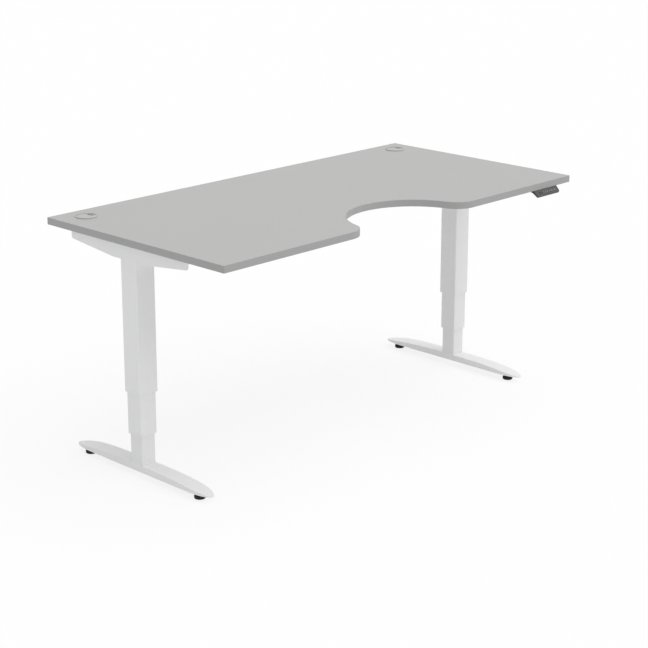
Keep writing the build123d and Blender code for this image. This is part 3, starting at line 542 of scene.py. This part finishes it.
def piece(name, mesh, slot, body, finish=None, stands_for=()):
    """A finished piece that rides on a body."""
    made = placed(name, mesh)
    mesh.materials.clear()
    mesh.materials.append(FINISHES[finish or slot])
    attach(made, body)
    if stands_for:
        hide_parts(*stands_for)
    return made


def combined(mesh, other, operation):
    """Two meshes made one by a boolean operation."""
    target = placed("target", mesh)
    tool = placed("tool", other)
    boolean = target.modifiers.new("combine", "BOOLEAN")
    boolean.operation = operation
    boolean.solver = "EXACT"
    boolean.object = tool
    result = made_plain(target)
    bpy.data.objects.remove(tool)
    return result


# ---------------------------------------------------------------- growing what repeats
class Recipe:
    """A Geometry Nodes tree with named inputs, which ends in real geometry."""

    def __init__(self, name, inputs):
        self.group = bpy.data.node_groups.new(name, "GeometryNodeTree")
        panel = self.group.interface
        panel.new_socket("Geometry", in_out="INPUT", socket_type="NodeSocketGeometry")
        for label, kind in inputs.items():
            panel.new_socket(label, in_out="INPUT", socket_type=f"NodeSocket{kind}")
        panel.new_socket("Material", in_out="INPUT", socket_type="NodeSocketMaterial")
        panel.new_socket("Geometry", in_out="OUTPUT", socket_type="NodeSocketGeometry")
        self.given = self.group.nodes.new("NodeGroupInput").outputs

    def node(self, kind, settings=None, sockets=None, output=0):
        """Adds a node and returns one of its outputs."""
        return add_node(self.group, kind, settings, sockets).outputs[output]

    def join(self, *parts):
        """Several geometries as one."""
        node = self.group.nodes.new("GeometryNodeJoinGeometry")
        for part in parts:
            self.group.links.new(part, node.inputs[0])
        return node.outputs[0]

    def finish(self, geometry):
        """Makes the instances real, gives them the material and ends the tree."""
        real = self.node("GeometryNodeRealizeInstances", None, {"Geometry": geometry})
        sockets = {"Geometry": real, "Material": self.given["Material"]}
        painted = self.node("GeometryNodeSetMaterial", None, sockets)
        out = self.group.nodes.new("NodeGroupOutput")
        self.group.links.new(painted, out.inputs[0])

    def grow(self, name, slot, body, values, points=(), finish=None, stands_for=()):
        """Runs the tree over some points and keeps the result as a plain piece."""
        start = bpy.data.meshes.new(name)
        start.from_pydata([tuple(point) for point in points], [], [])
        carrier = placed(name + "_carrier", start)
        modifier = carrier.modifiers.new("grow", "NODES")
        modifier.node_group = self.group
        given = dict(values, Material=FINISHES[finish or slot])
        for item in self.group.interface.items_tree:
            if item.item_type == "SOCKET" and item.in_out == "INPUT" and item.name in given:
                modifier[item.identifier] = given[item.name]
        return piece(name, smoothed(made_plain(carrier)), slot, body, finish, stands_for)


def fastener_recipe():
    """One fastener on every point, each turned by chance about its own axis."""
    recipe = Recipe("fasteners_on_points", {"Fastener": "Object", "Tilt": "Vector", "Seed": "Int"})
    given = recipe.given
    shape = recipe.node(
        "GeometryNodeObjectInfo", None, {"Object": given["Fastener"]}, output="Geometry"
    )
    spin = recipe.node(
        "FunctionNodeRandomValue",
        {"data_type": "FLOAT"},
        {"Min": 0.0, "Max": 2 * math.pi, "Seed": given["Seed"]},
        output="Value",
    )
    about = recipe.node("ShaderNodeCombineXYZ", None, {"Z": spin})
    turned_shape = recipe.node(
        "GeometryNodeInstanceOnPoints",
        None,
        {"Points": given["Geometry"], "Instance": shape, "Rotation": given["Tilt"]},
    )
    spun = recipe.node(
        "GeometryNodeRotateInstances",
        None,
        {"Instances": turned_shape, "Rotation": about, "Local Space": True},
    )
    recipe.finish(spun)
    return recipe


def rib_recipe():
    """Rounded bars in a row: ribs, the ripples of a weld, or contacts."""
    inputs = {"Length": "Float", "Width": "Float", "Height": "Float", "Round": "Float"}
    inputs.update({"Count": "Int", "Step": "Vector", "Tilt": "Vector", "Start": "Vector"})
    recipe = Recipe("rounded_bars_in_a_row", inputs)
    given = recipe.given
    outline = recipe.node(
        "GeometryNodeCurvePrimitiveQuadrilateral",
        None,
        {"Width": given["Length"], "Height": given["Width"]},
    )
    softened = recipe.node(
        "GeometryNodeFilletCurve",
        {"mode": "POLY"},
        {"Curve": outline, "Radius": given["Round"], "Count": 5},
    )
    face = recipe.node("GeometryNodeFillCurve", {"mode": "NGONS"}, {"Curve": softened})
    raised = recipe.node(
        "GeometryNodeExtrudeMesh", None, {"Mesh": face, "Offset Scale": given["Height"]}
    )
    back = recipe.node("GeometryNodeFlipFaces", None, {"Mesh": face})
    bar = recipe.node(
        "GeometryNodeMergeByDistance",
        None,
        {"Geometry": recipe.join(raised, back), "Distance": TOUCHING},
    )
    line = recipe.node(
        "GeometryNodeMeshLine",
        None,
        {"Count": given["Count"], "Start Location": given["Start"], "Offset": given["Step"]},
    )
    row = recipe.node(
        "GeometryNodeInstanceOnPoints",
        None,
        {"Points": line, "Instance": bar, "Rotation": given["Tilt"]},
    )
    recipe.finish(row)
    return recipe


def thread_recipe():
    """Screw threads as ridges that climb round an upright core."""
    inputs = {"Radius": "Float", "Depth": "Float", "Lead": "Float", "Turns": "Float"}
    inputs.update({"Starts": "Int", "Ridge": "Float", "Base": "Vector"})
    recipe = Recipe("thread_ridges", inputs)
    given = recipe.given

    def product(first, second, operation="MULTIPLY"):
        """Two values multiplied, or joined by another operation."""
        return recipe.node("ShaderNodeMath", {"operation": operation}, {0: first, 1: second})

    root = product(given["Radius"], given["Depth"], "SUBTRACT")
    path = recipe.node(
        "GeometryNodeCurveSpiral",
        None,
        {
            "Resolution": 20,
            "Rotations": given["Turns"],
            "Start Radius": root,
            "End Radius": root,
            "Height": product(given["Turns"], given["Lead"]),
        },
    )
    ridge = recipe.node(
        "GeometryNodeCurvePrimitiveCircle", {"mode": "RADIUS"}, {"Resolution": 4, "Radius": 1.0}
    )
    scale = recipe.node("ShaderNodeCombineXYZ", None, {"X": given["Depth"], "Y": given["Ridge"]})
    profile = recipe.node(
        "GeometryNodeTransform", None, {"Geometry": ridge, "Scale": scale}
    )
    upright = recipe.node(
        "GeometryNodeSetCurveNormal", {"mode": "Z_UP"}, {"Curve": path}
    )
    swept = recipe.node(
        "GeometryNodeCurveToMesh",
        None,
        {"Curve": upright, "Profile Curve": profile, "Fill Caps": True},
    )
    starts = recipe.node(
        "GeometryNodeMeshLine",
        None,
        {"Count": given["Starts"], "Start Location": given["Base"], "Offset": (0, 0, 0)},
    )
    index = recipe.node("GeometryNodeInputIndex")
    share = product(index, given["Starts"], "DIVIDE")
    turn = recipe.node("ShaderNodeCombineXYZ", None, {"Z": product(share, 2 * math.pi)})
    ridges = recipe.node(
        "GeometryNodeInstanceOnPoints",
        None,
        {"Points": starts, "Instance": swept, "Rotation": turn},
    )
    recipe.finish(ridges)
    return recipe


FASTENERS = fastener_recipe()
RIBS = rib_recipe()
THREADS = thread_recipe()


# ---------------------------------------------------------------- fasteners
def domed_head(radius, height):
    """The outline of a domed head that faces down, from its crown to its rim."""
    steps, dome = 6, 0.8 * height
    angles = [math.pi / 2 * step / steps for step in range(steps + 1)]
    return [(radius * math.sin(angle), dome * (1 - math.cos(angle))) for angle in angles]


def wood_screw():
    """A domed wood screw, head down, with a cross recess and a ridged shank."""
    head_r, head_h = 4.0 * MM, 2.8 * MM
    core_r, crest_r, pitch, flank = 1.15 * MM, 1.7 * MM, 1.8 * MM, 0.4 * MM
    thread_end, neck, tip = 15.5 * MM, 16.5 * MM, 18.3 * MM
    outline = domed_head(head_r, head_h) + [(head_r, head_h), (core_r, head_h)]
    height = head_h
    while height < thread_end:
        crest = height + pitch / 2
        outline += [(core_r, crest - flank), (crest_r, crest), (core_r, crest + flank)]
        height += pitch
    outline += [(core_r, neck), (0, tip)]
    screw = as_mesh("wood_screw", turned(outline, steps=24))
    arm, half, recess = 1.7 * MM, 0.4 * MM, 1.7 * MM
    cross = []
    for quarter in range(4):
        turn = Matrix.Rotation(math.radians(90 * quarter), 2)
        cross += [turn @ Vector(point) for point in ((half, half), (half, arm), (-half, arm))]
    cutter = as_mesh("cross", prism([tuple(point) for point in cross], -CLEAR, recess))
    return smoothed(combined(screw, cutter, "DIFFERENCE"))


def cap_bolt(shank_r, head_r, head_h, length, key):
    """A socket head bolt, head down: chamfered head, hexagonal socket, ridged shank."""
    lip, neck, point = 0.4 * MM, 1.5 * MM, 0.5 * MM
    pitch, depth = 1.25 * MM, 0.5 * MM
    core_r = shank_r - depth
    outline = [(0, 0), (head_r - lip, 0), (head_r, lip), (head_r, head_h), (shank_r, head_h)]
    height = head_h + neck
    for _ in range(int((length - height - point) / pitch)):
        outline += [(core_r, height), (shank_r, height + pitch / 2)]
        height += pitch
    outline += [(core_r, height), (core_r, length), (0, length)]
    bolt = as_mesh("cap_bolt", turned(outline, steps=36))
    cutter = as_mesh("key", prism(hexagon(key), -CLEAR, head_h / 2))
    return smoothed(combined(bolt, cutter, "DIFFERENCE"))


def rail_bolt(shank_r, flats, head_h, grip):
    """A hexagon bolt with its nut, head down, both with turned-off corners."""
    corner_r, crown_r = flats / math.sqrt(3), flats / 2 - 0.6 * MM
    slope, point, hair = 1.12 * MM, 0.8 * MM, 0.01 * MM
    nut_top = grip + 2 * head_h
    tip = nut_top + 1.8 * MM
    shank = turned([
        (0, head_h / 2), (shank_r, head_h / 2), (shank_r, tip - point),
        (shank_r - point, tip), (0, tip),
    ], steps=24)
    head = as_mesh("hexagon_head", prism(hexagon(flats), 0, head_h))
    nut = as_mesh("hexagon_nut", prism(hexagon(flats), grip + head_h, nut_top))
    whole = bmesh.new()
    for mesh, seat, crown in ((head, head_h, 0), (nut, grip + head_h, nut_top)):
        way = 1 if crown > seat else -1
        keep = turned([
            (0, seat - way * CLEAR), (corner_r + CLEAR, seat - way * CLEAR),
            (corner_r + CLEAR, crown - way * slope), (crown_r, crown),
            (crown_r, crown + way * hair), (0, crown + way * hair),
        ], steps=36)
        whole.from_mesh(combined(mesh, as_mesh("round_off", keep), "INTERSECT"))
    return as_mesh("rail_bolt", joined(whole, shank))


def small_screw(radius, height):
    """A small domed machine screw, head down, with a hexagonal socket."""
    foot = height * 1.2
    outline = domed_head(radius, height) + [(radius, foot), (0, foot)]
    head = as_mesh("small_screw", turned(outline, steps=24))
    socket = as_mesh("socket", prism(hexagon(radius), -CLEAR, height * 0.55))
    return smoothed(combined(head, socket, "DIFFERENCE"))


def undersides(node):
    """The middle of the underside of each solid of a CAD node."""
    return [
        ((low.x + high.x) / 2, (low.y + high.y) / 2, low.z) for low, high in solid_boxes(node)
    ]


def fit_fasteners(name, body, mesh, places, tilt, seed, stands_for=()):
    """Sets one fastener on each place."""
    pattern = placed(name + "_pattern", mesh)
    values = {
        "Fastener": pattern,
        "Tilt": [math.radians(angle) for angle in tilt],
        "Seed": seed,
    }
    FASTENERS.grow(name, "screw_steel", body, values, places, stands_for=stands_for)
    bpy.data.objects.remove(pattern)


def all_fasteners():
    """Every screw and bolt, in the places that the CAD nodes give."""
    fit_fasteners(
        "wood_screws", "top", wood_screw(), undersides("worktop_screws"), HEAD_DOWN,
        seed=3, stands_for=["worktop_screws"],
    )
    upright, lying = [], {-1: [], 1: []}
    slender = 1.5  # a bolt that is higher than this many widths stands upright
    for low, high in solid_boxes("frame_bolts"):
        middle = (low + high) / 2
        if high.z - low.z > slender * (high.x - low.x):
            upright.append((middle.x, middle.y, high.z))
        else:
            side = 1 if middle.x > 0 else -1
            lying[side].append((low.x if side > 0 else high.x, middle.y, middle.z))
    column_bolt = cap_bolt(
        shank_r=3 * MM, head_r=5 * MM, head_h=6 * MM, length=27.9 * MM, key=5 * MM
    )
    fit_fasteners(
        "column_bolts", "top", column_bolt, upright, HEAD_UP, seed=5, stands_for=["frame_bolts"]
    )
    for side, sign in SIDES.items():
        bolt = rail_bolt(shank_r=4 * MM, flats=13 * MM, head_h=4.5 * MM, grip=6 * MM)
        fit_fasteners(
            f"rail_bolts_{side}", "top", bolt, lying[sign], (0, 90 * sign, 0),
            seed=8 + sign, stands_for=["frame_bolts"],
        )
    foot_bolt = cap_bolt(
        shank_r=4 * MM, head_r=6.5 * MM, head_h=8 * MM, length=29.4 * MM, key=6 * MM
    )
    fit_fasteners(
        "foot_bolt_set", "base", foot_bolt, undersides("foot_bolts"), HEAD_DOWN,
        seed=11, stands_for=["foot_bolts"],
    )


# ---------------------------------------------------------------- lifting gear and drive
LEAD = 12 * MM
RUN_OUT = 3 * MM  # plain core between a thread and a collar


def collar_heights(node, collar_r):
    """The lowest and highest points of a spindle's collar, its widest part."""
    middle = node_middle(node)
    levels = [
        corner.co.z
        for corner in frame["nodes"][node].data.vertices
        if math.hypot(corner.co.x - middle.x, corner.co.y - middle.y) > collar_r - 2 * MM
    ]
    return min(levels), max(levels)


def collar(radius, low, high):
    """The outline of a collar with broken edges."""
    edge = 0.5 * MM
    return [
        (radius - edge, low), (radius, low + edge), (radius, high - edge), (radius - edge, high)
    ]


def thread(name, node, crest_r, bottom, top):
    """Four-start thread ridges between two heights on a spindle's core."""
    middle = node_middle(node)
    THREADS.grow(name, "spindle_steel", node, {
        "Radius": crest_r, "Depth": 1.35 * MM, "Lead": LEAD, "Turns": (top - bottom) / LEAD,
        "Starts": 4, "Ridge": 0.9 * MM, "Base": (middle.x, middle.y, bottom),
    })


def solid_spindle(side):
    """The inner spindle: hexagonal driver, threaded core, collar, journal and stub."""
    node = f"spindle_{side}"
    low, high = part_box(node)
    x, y = node_middle(node).xy
    core_r, crest_r, collar_r = 6.6 * MM, 7.95 * MM, 14 * MM
    journal_r, stub_r, overlap, point = 7.9 * MM, 7 * MM, 1 * MM, 0.8 * MM
    driver_flats = 17.8 * MM
    driver_top, stub_low = low.z + 25 * MM, high.z - 24 * MM
    collar_low, collar_high = collar_heights(node, collar_r)
    shaft = turned([
        (0, driver_top - overlap), (core_r, driver_top - overlap), (core_r, collar_low),
        *collar(collar_r, collar_low, collar_high), (journal_r, collar_high),
        (journal_r, stub_low), (stub_r, stub_low),
        (stub_r, high.z - point), (stub_r - point, high.z), (0, high.z),
    ])
    driver = prism(hexagon(driver_flats), low.z, driver_top)
    mesh = as_mesh(f"spindle_core_{side}", moved(joined(shaft, driver), (x, y, 0)))
    piece(f"spindle_core_{side}", mesh, "spindle_steel", node, stands_for=[node])
    bottom, top = driver_top + RUN_OUT, collar_low - RUN_OUT
    thread(f"spindle_thread_{side}", node, crest_r, bottom, top)


def hollow_spindle(side):
    """The outer spindle: a bored and threaded core with a collar and a journal."""
    node = f"hollow_spindle_{side}"
    low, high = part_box(node)
    x, y = node_middle(node).xy
    bore_r, core_r, crest_r = 10.4 * MM, 11.6 * MM, 12.95 * MM
    journal_r, collar_r, mouth = 12.9 * MM, 17 * MM, 2 * MM
    collar_low, collar_high = collar_heights(node, collar_r)
    tube = turned([
        (bore_r, low.z), (core_r, low.z), (core_r, collar_low),
        *collar(collar_r, collar_low, collar_high), (journal_r, collar_high),
        (journal_r, high.z), (bore_r, high.z), (bore_r, low.z),
    ])
    bmesh.ops.remove_doubles(tube, verts=tube.verts, dist=TOUCHING)
    mesh = as_mesh(f"hollow_core_{side}", moved(tube, (x, y, 0)))
    piece(f"hollow_core_{side}", mesh, "spindle_steel", node, stands_for=[node])
    thread(f"hollow_thread_{side}", node, crest_r, low.z + mouth, collar_low - RUN_OUT)


def lifting_gear():
    """Spindles with their threads; each body turns its own."""
    for side in SIDES:
        solid_spindle(side)
        hollow_spindle(side)


def bars(name, slot, size, count, step, tilt, start):
    """Bars in a row; the size is length, width, height and rounding in millimetres."""
    length, width, height, rounding = (measure * MM for measure in size)
    RIBS.grow(name, slot, "top", {
        "Length": length, "Width": width, "Height": height, "Round": rounding, "Count": count,
        "Step": step, "Tilt": [math.radians(angle) for angle in tilt], "Start": start,
    })


def bars_about(name, slot, size, count, pitch, tilt, middle):
    """Bars in a row along X about the row's middle."""
    x, y, z = middle
    bars(name, slot, size, count, (pitch, 0, 0), tilt, (x - pitch * (count - 1) / 2, y, z))


def motor_details(side):
    """The bearing boss and the cap screws on a motor's back, and the ribs below it."""
    low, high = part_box(f"motor_{side}")
    middle = (low + high) / 2
    boss = turned(profile(
        (0, -1), (6, -1), (6, 1.2), (5.2, 2), (2.2, 2), (1.8, 1.2), (0, 1.2)
    ), steps=32)
    place = (middle.x, high.y, middle.z)
    mesh = as_mesh(f"bearing_boss_{side}", moved(boss, place, (-90, 0, 0)))
    piece(f"bearing_boss_{side}", mesh, "screw_steel", "top")
    reach, screw_r, screw_h = 11 * MM, 2.6 * MM, 1.8 * MM
    places = [(middle.x + way * reach, high.y + screw_h, middle.z) for way in (-1, 1)]
    screw = small_screw(screw_r, screw_h)
    fit_fasteners(f"cap_screws_{side}", "top", screw, places, HEAD_BACK, seed=13)
    forward, sunk = 4 * MM, 0.05 * MM
    bars_about(
        f"motor_ribs_{side}", "motor_can", (70, 1.6, 0.8, 0.7), 4, 5 * MM, (180, 0, 90),
        (middle.x, middle.y - forward, low.z + sunk),
    )


def gearbox_details(side):
    """The cover on a gearbox and its four screws."""
    low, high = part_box(f"gearbox_{side}")
    middle = (low + high) / 2
    width, corner, sunk, proud = 38 * MM, 4 * MM, 0.2 * MM, 1.4 * MM
    cover = rounded_slab(width, width, corner, high.z - sunk, high.z + proud)
    mesh = as_mesh(f"gearbox_cover_{side}", moved(cover, (middle.x, middle.y, 0)))
    piece(f"gearbox_cover_{side}", mesh, "die_cast", "top")
    reach, screw_r, screw_h = 15 * MM, 2.4 * MM, 1.6 * MM
    places = [
        (middle.x + x * reach, middle.y + y * reach, high.z + proud + screw_h)
        for x in (-1, 1) for y in (-1, 1)
    ]
    screw = small_screw(screw_r, screw_h)
    fit_fasteners(f"cover_screws_{side}", "top", screw, places, HEAD_UP, seed=15)


# ---------------------------------------------------------------- welds
def weld(name, start, step, count, tilt):
    """A weld bead: overlapping rounded ripples from a start point."""
    bars(name, "white_steel", (3.4, 3.2, 0.9, 1.5), count, step, tilt, start)


def welds():
    """Beads that hold the saddles in the arms and the end plates on the rails."""
    pitch, off = 1.7 * MM, 1.1 * MM  # from ripple to ripple, and out of the corner
    inside, reach = 37 * MM, 37 * MM  # to an arm's walls, and to a saddle bead's start
    plate_steel, rail_half, drop = 3 * MM, 20 * MM, 22 * MM
    for side, sign in SIDES.items():
        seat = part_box(f"gearbox_{side}")[0].z
        middle = node_middle(f"gearbox_{side}")
        for number, way in enumerate((-1, 1)):
            start = Vector((middle.x + way * (inside - off), middle.y - reach, seat + off))
            weld(f"saddle_weld_{side}_{number}", start, (0, pitch, 0), 44, (0, -45 * way, 0))
        for end in ENDS:
            low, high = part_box(f"cross_rail_{end}")
            row = (low.y + high.y) / 2
            plate = (high.x if sign > 0 else low.x) - sign * plate_steel
            for number, way in enumerate((-1, 1)):
                across = row + way * (rail_half + off)
                start = Vector((plate - sign * off, across, high.z - drop))
                turn = (90, 0, math.degrees(math.atan2(-sign, -way)))
                weld(f"rail_weld_{end}_{side}_{number}", start, (0, 0, pitch), 12, turn)


# ---------------------------------------------------------------- control box
def control_box_details():
    """A power lamp and ribs on the underside; pins in the inlet, contacts in the sockets."""
    low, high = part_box("control_box")
    middle = (low + high) / 2
    lens_r, dome, foot, proud = 2.2 * MM, 1.2 * MM, 2 * MM, 0.8 * MM
    lens = turned(domed_head(lens_r, dome) + [(lens_r, foot), (0, foot)], steps=24)
    to_right, from_front = 100 * MM, 14 * MM
    place = (middle.x + to_right, low.y + from_front, low.z - proud)
    mesh = as_mesh("power_lamp", moved(lens, place))
    piece("power_lamp", mesh, "display_glass", "top", finish="lamp_lens")
    sunk = 0.2 * MM
    bars_about(
        "cooling_ribs", "box_plastic", (64, 2.0, 1.0, 0.9), 21, 8 * MM, (180, 0, 90),
        (middle.x, middle.y, low.z + sunk),
    )
    low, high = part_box("socket_strip")
    centre_z = (low.z + high.z) / 2
    inlet_from_end, first_from_inlet, socket_pitch = 22 * MM, 46 * MM, 34 * MM
    inlet_x = high.x - inlet_from_end
    for name, offset, drop in (("live", -7, 1.5), ("earth", 0, -2.5), ("neutral", 7, 1.5)):
        blade = rounded_slab(
            width=4 * MM, depth=2 * MM, corner=0.7 * MM, low=0, high=9 * MM
        )
        place = (inlet_x + offset * MM, low.y - 0.5 * MM, centre_z - drop * MM)
        mesh = as_mesh(f"inlet_pin_{name}", moved(blade, place, (-90, 0, 0)))
        piece(f"inlet_pin_{name}", mesh, "screw_steel", "top")
    for number in range(5):
        x = inlet_x - first_from_inlet - socket_pitch * number
        bars_about(
            f"socket_contacts_{number + 1}", "nut_bronze", (1.1, 3.2, 7, 0.3), 6, 2.1 * MM,
            (-90, 0, 0), (x, low.y - sunk, centre_z),
        )


# ---------------------------------------------------------------- handset
def face_frame(node):
    """The matrix that takes a flat symbol to the middle of a key's sloping cap."""
    joint = next(j for j in frame["joints"] if j["child"] == node)
    out = -Vector(joint["axis"]).normalized()
    along = Vector((1, 0, 0))
    up = out.cross(along)
    corners = [vertex.co for vertex in frame["nodes"][node].data.vertices]
    level = max(corner.dot(out) for corner in corners)
    cap = [corner for corner in corners if corner.dot(out) > level - MM / 100]
    x = (min(c.x for c in cap) + max(c.x for c in cap)) / 2
    climb = (min(c.dot(up) for c in cap) + max(c.dot(up) for c in cap)) / 2
    middle = along * x + up * climb + out * level
    turn = Matrix((along, up, out)).transposed().to_4x4()
    return Matrix.Translation(middle) @ turn


def print_on(node, name, shape):
    """Lays a flat symbol on a key's cap."""
    bmesh.ops.transform(shape, matrix=face_frame(node), verts=shape.verts)
    piece(name, as_mesh(name, shape), "key_plastic", node, finish="ink")


def symbols():
    """Arrows on the lift keys and a numeral on each preset key."""
    thick = 0.12 * MM
    for node, way in LIFT_KEYS.items():
        wing, tip, bar = 3.0 * MM, 2.0 * MM, 1.3 * MM
        chevron = [
            (-wing, -way * tip), (0, way * (tip - bar)), (wing, -way * tip),
            (wing, -way * (tip - bar)), (0, way * tip), (-wing, -way * (tip - bar)),
        ]
        print_on(node, node + "_arrow", prism(chevron, -thick, thick))
    for node, numeral in PRESET_KEYS.items():
        text = bpy.data.curves.new(node + "_text", "FONT")
        text.body = numeral
        text.size = 6.4 * MM
        text.extrude = thick
        text.align_x = "CENTER"
        text.align_y = "CENTER"
        mesh = made_plain(placed(node + "_text", text))
        shape = bmesh.new()
        shape.from_mesh(mesh)
        bmesh.ops.remove_doubles(shape, verts=shape.verts, dist=TOUCHING)
        bpy.data.meshes.remove(mesh)
        print_on(node, node + "_numeral", shape)


# ---------------------------------------------------------------- glides
def glides():
    """Levelling glides: a soft black disc, a zinc hexagon and a threaded stud."""
    for end in ENDS:
        for side in SIDES:
            node = f"glide_{end}_{side}"
            low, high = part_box(node)
            x, y = (low.x + high.x) / 2, (low.y + high.y) / 2
            disc = turned(profile(
                (0, 0), (15.4, 0), (18.2, 0.7), (19.6, 2.4), (20, 4.6), (20, 8.6), (19.5, 9.8),
                (17.6, 12.9), (16.2, 13.8), (14.6, 14), (9.6, 14), (9.2, 13.2), (0, 13.2),
            ), steps=64)
            mesh = as_mesh(f"{node}_disc", moved(disc, (x, y, 0)))
            piece(f"{node}_disc", mesh, "glide_plastic", node, stands_for=[node])
            core_r, flats, overlap = 3.4 * MM, 13 * MM, 2 * MM
            nut_low, nut_high = 13 * MM, 22 * MM
            foot = nut_high - overlap
            outline = [(0, foot), (core_r, foot), (core_r, high.z), (0, high.z)]
            stud = turned(outline, steps=32)
            nut = prism(hexagon(flats), nut_low, nut_high)
            mesh = as_mesh(f"{node}_stud", moved(joined(nut, stud), (x, y, 0)))
            piece(f"{node}_stud", mesh, "screw_steel", node)
            depth, gap = 0.55 * MM, 0.4 * MM
            THREADS.grow(f"{node}_thread", "screw_steel", node, {
                "Radius": core_r + depth, "Depth": depth, "Lead": 1.25 * MM, "Turns": 7.0,
                "Starts": 1, "Ridge": 0.5 * MM, "Base": (x, y, nut_high + gap),
            })


# ---------------------------------------------------------------- studio
def studio():
    """A pale floor and an even white surround, with one broad soft key light."""
    reach = 80.0
    corners = [(-reach, -reach, 0), (reach, -reach, 0), (reach, reach, 0), (-reach, reach, 0)]
    floor = bpy.data.meshes.new("studio_floor")
    floor.from_pydata(corners, [], [(0, 1, 2, 3)])
    placed("studio_floor", floor)
    finish = Finish("studio_floor")
    plain = finish.node("ShaderNodeBsdfDiffuse", None, {"Color": rgba(grey(0.90))})
    shaded = finish.node("ShaderNodeBsdfDiffuse", None, {"Color": WHITE})
    glow = finish.node("ShaderNodeEmission", None, {"Color": WHITE, "Strength": 1.0})
    soft = finish.mix(0.83, shaded, glow)
    upper = finish.mix(finish.background_rays(), plain, soft)
    lower = finish.node("ShaderNodeNewGeometry", output="Backfacing")
    clear = finish.node("ShaderNodeBsdfTransparent")
    finish.end("ShaderNodeOutputMaterial", finish.mix(lower, upper, clear))
    floor.materials.append(finish.material)

    world = bpy.data.worlds.new("surround")
    bpy.context.scene.world = world
    surround = ShaderTree(world)
    cool = {"Color": (0.985, 0.991, 1.0, 1.0), "Strength": 0.62}
    ambient = surround.node("ShaderNodeBackground", None, cool)
    white = surround.node("ShaderNodeBackground", None, {"Color": WHITE})
    seen = surround.mix(surround.background_rays(), ambient, white)
    surround.end("ShaderNodeOutputWorld", seen)

    key = bpy.data.lights.new("key", "SUN")
    key.energy = 1.28
    key.angle = math.radians(70)
    key.color = (1.0, 0.993, 0.982)
    ahead = Vector((-0.34, 0.42, -1.0))
    placed("key", key).rotation_euler = ahead.to_track_quat("-Z", "Y").to_euler()


def camera():
    """A long lens at a three-quarter view from the front left, a little above the top."""
    data = bpy.data.cameras.new("camera")
    data.sensor_width = 36.0
    data.lens = 92.76
    data.shift_y = -0.10
    data.clip_end = 200.0
    made = placed("camera", data)
    made.location = (-4.253, -4.126, 2.247)
    heading, pitch = math.radians(44.07), math.radians(15.37)
    ahead = Vector((
        math.cos(heading) * math.cos(pitch),
        math.sin(heading) * math.cos(pitch),
        -math.sin(pitch),
    ))
    made.rotation_euler = ahead.to_track_quat("-Z", "Y").to_euler()
    bpy.context.scene.camera = made


camera()
studio()
dress_nodes()
all_fasteners()
lifting_gear()
for side in SIDES:
    motor_details(side)
    gearbox_details(side)
welds()
control_box_details()
symbols()
glides()
bpy.context.scene.view_settings.view_transform = "Standard"
